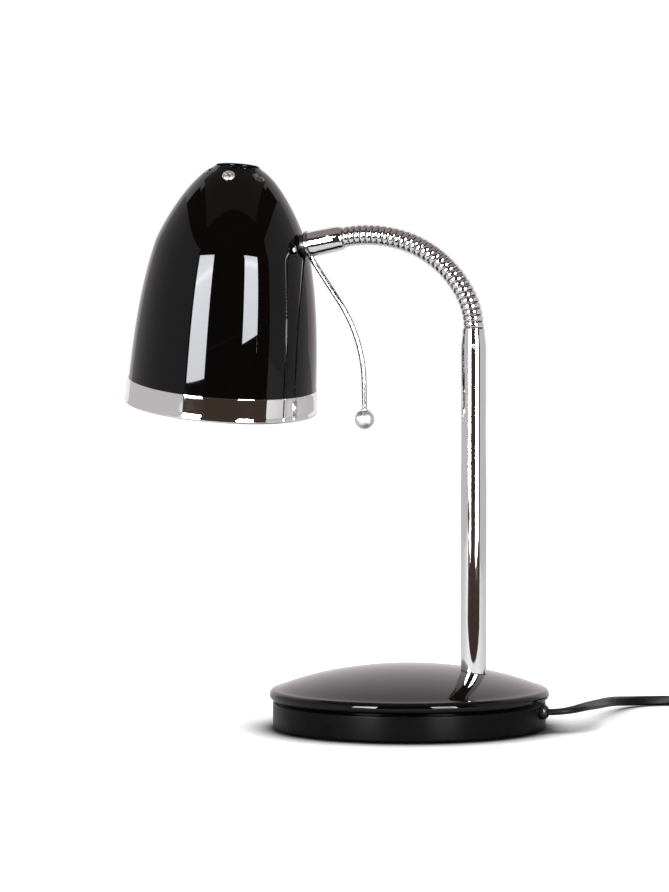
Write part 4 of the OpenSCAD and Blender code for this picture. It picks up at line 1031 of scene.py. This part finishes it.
def lead_route():
    """Centre line of the whole free lead with the turn of its section, as in the part's source."""
    b, lead = Sizes("lamp_base"), Sizes("lamp_lead")
    x0 = b.cover_d / 2 - b.skirt_in + 4.1
    run = [(0, 0, 12.6, 0), (6.4, 0.4, 13, 0), (13.4, 4.4, 13.8, 8), (17.8, 14, 14.4, 20),
           (18.8, 28, 13.9, 34), (18.6, 45, 12.8, 48), (17.6, 65, 11.3, 60), (16.4, 85, 9.8, 72),
           (15.4, 105, 8.2, 82), (15.4, 125, 6.4, 88), (17.8, 143, 4.6, 90), (24.9, 157, 3.5, 90),
           (37.4, 165, 3.2, 80), (48.4, 168, 3.4, 40), (62.4, 168, 8.4, 0)]
    through = [(90.4, 168, 8.4, 0), (118.4, 168, 8.4, 0)]
    out = [(130.4, 167, 6.8, 10), (141.4, 161.5, 5, 40), (149.4, 152, 4.4, 70), (153.4, 140, 4.2, 88),
           (154.4, 128, 4.2, 90), (154.4, 105, 4.2, 90)]
    hand = [Vector((p[0] + x0, *p[1:])) for p in run + through + out]
    line = []
    for i in range(len(hand) - 1):
        a, b_, c = hand[max(i - 1, 0)], hand[i], hand[i + 1]
        d = hand[min(i + 2, len(hand) - 1)]
        steps = max(2, round((c - b_).length / 3))
        for j in range(steps):
            t = j / steps
            line.append(0.5 * (2 * b_ + (c - a) * t + (2 * a - 5 * b_ + 4 * c - d) * t * t
                               + (3 * b_ - a - 3 * c + d) * t ** 3))
    return line + lead_coil(x0, lead)


def lead_coil(x0, lead):
    turns = 3.25
    middle = turns + 0.25
    inner = lead.coil_r - lead.coil_pitch * middle
    cx, cy = x0 + 113.9, 105
    per_turn = 72
    out = []
    for i in range(int(per_turn * (2 * turns + 0.5)) + 1):
        t = i / per_turn
        rise = min(max((t - turns) / 0.5, 0), 1)
        r = inner + lead.coil_pitch * abs(t - middle)
        a = -2 * math.pi * t
        z = lead.coil_z + lead.coil_rise * (3 - 2 * rise) * rise * rise
        out.append(Vector((cx + r * math.cos(a), cy + r * math.sin(a), z, 90)))
    end_z, plug_z = lead.coil_z + lead.coil_rise, 6.85
    tail = [(8, 0), (13, 0), (18, 0), (23, 14), (29, 40), (34, 62), (39, 80), (43, 88), (47, 90)]
    for d, turn_ in tail:
        z = end_z + (plug_z - end_z) * turn_ / 90
        out.append(Vector((cx + lead.coil_r, cy - d, z, 90 - turn_)))
    return out


class LAMP_OT_lead(bpy.types.Operator):
    """Lays the flat twin lead from the grommet through its switch into the coil and the plug"""

    bl_idname = "lamp.lead"
    bl_label = "Mains lead"

    def section(self, w, t):
        """Two round cores side by side with a shallow groove between them."""
        out = []
        r = t / 2
        off = w / 2 - r
        for a in range(-78, 79, 12):
            out.append((r * sin(a), off + r * cos(a)))
        out.append((r * 0.62, 0))
        for a in range(102, 259, 12):
            out.append((r * sin(a), -off + r * cos(a)))
        out.append((-r * 0.62, 0))
        return out

    def execute(self, context):
        lead = Sizes("lamp_lead")
        route = lead_route()
        path = [Vector(p[:3]) for p in route]
        section = self.section(lead.width, lead.thickness)
        rings = []
        for i, p in enumerate(path):
            way = (path[min(i + 1, len(path) - 1)] - path[max(i - 1, 0)]).normalized()
            side = way.cross(Vector((0, 0, 1))).normalized()
            up = side.cross(way)
            a = route[i][3]
            rings.append([
                p + side * (x * sin(a) + y * cos(a)) + up * (x * cos(a) - y * sin(a)) for x, y in section
            ])
        cord = sweep("mains_lead", rings)
        smooth(cord, 60)
        finish_piece(into_frame(cord), "base", "lead_black", "lead_black", "cord_run", "cord_coil")
        lead.real_length * MM
        lead.width * MM
        return {"FINISHED"}


# Studio, with its places in metres: to the camera's right, towards the camera, and up

PICTURE = (669, 892)
SENSOR_WIDTH = 36
SHADE_RIGHT = -0.115
DARK, BROWN, PALE = (0.05, 0.033, 0.027), (0.26, 0.225, 0.22), (0.57, 0.548, 0.552)
STRIP_TINT, BACK_TINT = (0.93, 0.955, 1.0), (0.95, 0.87, 0.885)
STRIP_GLOW = (0.7, 42)


class LAMP_OT_studio(bpy.types.Operator):
    """Sets up the pale floor, the soft light and the camera"""

    bl_idname = "lamp.studio"
    bl_label = "Studio"

    def camera(self, context, st):
        az, el = st.side_turn, st.tilt
        look = Vector((-sin(az) * cos(el), cos(az) * cos(el), -sin(el)))
        target = Vector((0, 0, 180))
        data = bpy.data.cameras.new("camera")
        cam = bpy.data.objects.new("camera", data)
        context.scene.collection.objects.link(cam)
        cam.location = (target - look * st.distance) * MM
        cam.rotation_euler = look.to_track_quat("-Z", "Y").to_euler()
        data.sensor_fit = "HORIZONTAL"
        data.sensor_width = SENSOR_WIDTH
        data.lens = SENSOR_WIDTH * st.distance / (PICTURE[0] * st.scale)
        data.shift_x = (PICTURE[0] / 2 - st.centre_px[0]) / PICTURE[0]
        data.shift_y = (st.centre_px[1] - PICTURE[1] / 2) / PICTURE[0]
        data.clip_end = 20
        context.scene.camera = cam

    def lamp(self, context, name, place, target, size, power):
        data = bpy.data.lights.new(name, "AREA")
        data.shape = "RECTANGLE"
        data.size, data.size_y = size
        data.energy = power
        obj = bpy.data.objects.new(name, data)
        context.scene.collection.objects.link(obj)
        obj.location = place
        obj.rotation_euler = (Vector(target) - Vector(place)).to_track_quat("-Z", "Y").to_euler()
        obj.visible_glossy = False

    def world(self, context, st):
        world = bpy.data.worlds.new("studio")
        context.scene.world = world
        world.use_nodes = True
        tree = world.node_tree
        tree.nodes.clear()
        new = tree.nodes.new
        out = new("ShaderNodeOutputWorld")
        path = new("ShaderNodeLightPath")
        seen = new("ShaderNodeBackground")
        light = new("ShaderNodeBackground")
        mix = new("ShaderNodeMixShader")
        for node, strength in ((seen, 1.0), (light, st.room)):
            node.inputs["Color"].default_value = (1, 1, 1, 1)
            node.inputs["Strength"].default_value = strength
        rays = path.outputs["Is Camera Ray"]
        for kind in ("Is Glossy Ray", "Is Transmission Ray"):
            either = new("ShaderNodeMath")
            either.operation = "MAXIMUM"
            tree.links.new(rays, either.inputs[0])
            tree.links.new(path.outputs[kind], either.inputs[1])
            rays = either.outputs[0]
        tree.links.new(rays, mix.inputs["Fac"])
        tree.links.new(light.outputs[0], mix.inputs[1])
        tree.links.new(seen.outputs[0], mix.inputs[2])
        tree.links.new(mix.outputs[0], out.inputs["Surface"])

    def floor(self, context, st):
        floor = fresh(bpy.ops.mesh.primitive_plane_add, size=8, location=(0, 0, 0))
        floor.name = "studio_floor"
        n = Nodes("floor_white")
        n.shader.inputs["Roughness"].default_value = 0.85
        glow = n.add("ShaderNodeEmission")
        # Painted contact shadow: ambient occlusion near the base darkens the floor's colour and cuts its glow
        # to the camera.
        near = n.add("ShaderNodeAmbientOcclusion", Distance=st.contact * MM).outputs["AO"]
        n.link(n.blend(near, (0.01,) * 3, (st.floor_grey,) * 3, 0.5, 0.95), n.shader.inputs["Base Color"])
        lift = n.spread(near, 0.0, st.floor_lift, 0.5, 0.95)
        n.link(lift, glow.inputs["Strength"])
        path = n.add("ShaderNodeLightPath")
        both = n.add("ShaderNodeAddShader")
        pick = n.add("ShaderNodeMixShader")
        n.link(path.outputs["Is Camera Ray"], pick.inputs["Fac"])
        n.link(n.shader.outputs[0], both.inputs[0])
        n.link(glow.outputs[0], both.inputs[1])
        n.link(n.shader.outputs[0], pick.inputs[1])
        n.link(both.outputs[0], pick.inputs[2])
        n.link(pick.outputs[0], n.tree.nodes["Material Output"].inputs["Surface"])
        floor.data.materials.append(n.material)
        floor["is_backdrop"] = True

    def place(self, right, front, height):
        """A place in the studio: to the camera's right, towards the camera, and up, in metres."""
        az = Sizes("lamp_studio").side_turn
        return Vector((right * cos(az) + front * sin(az), right * sin(az) - front * cos(az), height))

    def card(self, context, name, ends, heights, value, glow=None):
        """An upright card between two floor places, or a flat or sloping one where four are given."""
        card = fresh(bpy.ops.mesh.primitive_plane_add, size=1)
        card.name = name
        if len(ends) == 2:
            spots = [(*end, height) for height in heights for end in ends]
        else:
            spots = [(*end, height) for end, height in zip(ends, heights)]
        for v, spot in zip(card.data.vertices, spots):
            v.co = self.place(*spot)
        n = Nodes(name)
        n.tree.nodes.remove(n.shader)
        light = n.add("ShaderNodeEmission", Strength=1.0)
        light.inputs["Color"].default_value = (*value, 1)
        if glow:
            self.hot_spot(n, light, heights, glow)
        n.link(light.outputs[0], n.tree.nodes["Material Output"].inputs["Surface"])
        card.data.materials.append(n.material)
        card.visible_camera = False
        card.visible_diffuse = False
        card.visible_shadow = False
        card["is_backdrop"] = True

    def hot_spot(self, n, light, heights, glow):
        """A strip light is brightest two thirds of the way up."""
        even, power = glow
        split = n.add("ShaderNodeSeparateXYZ")
        n.link(n.place, split.inputs[0])
        up = n.spread(split.outputs["Z"], 0.0, 1.0, *heights)
        ramp = n.add("ShaderNodeValToRGB")
        stops = ramp.color_ramp.elements
        for stop in stops:
            stop.color = (even, even, even, 1)
        for where, level in ((0.62, even * 1.15), (0.68, 1.0), (0.74, even * 1.15)):
            stops.new(where).color = (level, level, level, 1)
        strength = n.add("ShaderNodeMath", operation="MULTIPLY")
        strength.inputs[1].default_value = power
        n.link(up, ramp.inputs["Fac"])
        n.link(ramp.outputs["Color"], strength.inputs[0])
        n.link(strength.outputs[0], light.inputs["Strength"])

    def screens(self, context):
        """Dark screens and cloth, pale flats at both sides and a brown one overhead."""
        left, right = math.tan(math.radians(46)), math.tan(math.radians(59))
        cloth = [(SHADE_RIGHT + way * front, front) for front in (0.4, 2.55) for way in (-left, right)]
        self.card(context, "front_cloth", cloth, (0.003,) * 4, DARK)
        for name, ends in (("front_screen", [(-3.2, 2.6), (3.2, 2.6)]),
                           ("left_screen", [(-3.0, 2.6), (-3.0, -2.0)]),
                           ("right_screen", [(3.0, 2.6), (3.0, -2.0)])):
            self.card(context, name, ends, (0, 3.2), DARK)
        ceiling = [(-3.0, 2.6), (3.0, 2.6), (-3.0, -0.9), (3.0, -0.9)]
        self.card(context, "dark_ceiling", ceiling, (2.7,) * 4, DARK)
        for name, side, near, far, high in (("left_flat", SHADE_RIGHT - 1.3, 1.255, -1.9, 1.24),
                                            ("right_flat", SHADE_RIGHT + 1.3, 0.78, -1.1, 1.14)):
            self.card(context, name, [(side, near), (side, far)], (0, high), PALE)
        overhead = [(-1.25, 1.1), (1.15, 1.1), (-1.25, -1.1), (1.15, -1.1)]
        self.card(context, "ceiling_flat", overhead, (1.62,) * 4, BROWN)

    def strips(self, context, fall):
        """Two strip lights, each with a dark flag over its foot that slopes as the camera looks down."""
        strip_front, flag_front, gap = 1.2, 0.4, 0.02
        for side, turns, foot in (("left", (-44, -22), 0.04), ("right", (23, 42), 0.09)):
            def across(front):
                return [(SHADE_RIGHT + front * math.tan(math.radians(a)), front) for a in turns]
            self.card(context, "strip_" + side, across(strip_front), (0, 0.81), STRIP_TINT, STRIP_GLOW)
            high = foot + (strip_front - gap - flag_front) * fall
            flag = across(flag_front) + across(strip_front - gap)
            self.card(context, "flag_" + side, flag, (high, high, foot, foot), DARK)

    def execute(self, context):
        st = Sizes("lamp_studio")
        context.scene.view_settings.view_transform = "Standard"
        self.camera(context, st)
        self.world(context, st)
        self.floor(context, st)
        self.screens(context)
        self.strips(context, math.tan(math.radians(st.tilt)))
        self.card(context, "back_screen", [(-3.0, -2.2), (3.0, -2.2)], (0, 2.6), BACK_TINT)
        aim = (-0.06, 0, 0.15)
        for name, right in (("lamp_left", -0.85), ("lamp_right", 0.75)):
            self.lamp(context, name, self.place(right, 1.3, 0.6), aim, (0.45, 0.7), st.side_watts)
        self.lamp(context, "lamp_top", self.place(0, 0.1, 1.9), (0, 0, 0), (1.6, 1.6), st.top_watts)
        return {"FINISHED"}


class LAMP_PT_panel(bpy.types.Panel):
    """Lists the steps and the sizes of the lamp"""

    bl_idname = "LAMP_PT_panel"
    bl_label = "Desk lamp"
    bl_space_type = "VIEW_3D"
    bl_region_type = "UI"
    bl_category = "Desk lamp"

    def draw(self, context):
        for step in STEPS:
            self.layout.operator(step.bl_idname)
        for name in GROUPS:
            box = self.layout.box()
            group = getattr(context.scene, name)
            for key in group.__annotations__:
                box.prop(group, key)


STEPS = (LAMP_OT_finishes, LAMP_OT_studio, LAMP_OT_lead, LAMP_OT_base, LAMP_OT_stem, LAMP_OT_neck,
         LAMP_OT_handle, LAMP_OT_shade, LAMP_OT_bulb)
CLASSES = (*GROUPS.values(), *STEPS, LAMP_PT_panel)


def register():
    for c in CLASSES:
        bpy.utils.register_class(c)
    for name, group in GROUPS.items():
        setattr(bpy.types.Scene, name, bpy.props.PointerProperty(type=group))


def unregister():
    for name in GROUPS:
        delattr(bpy.types.Scene, name)
    for c in reversed(CLASSES):
        bpy.utils.unregister_class(c)


def corners(bounds):
    return [[float(v) for v in corner] for corner in bounds]


def main():
    register()
    cad = corners(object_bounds())
    bpy.ops.object.select_all(action="DESELECT")
    for step in STEPS:
        group, name = step.bl_idname.split(".")
        getattr(getattr(bpy.ops, group), name)()
    import json
    {"cad": cad, "visual": corners(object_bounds())}


if __name__ == "__main__":
    main()
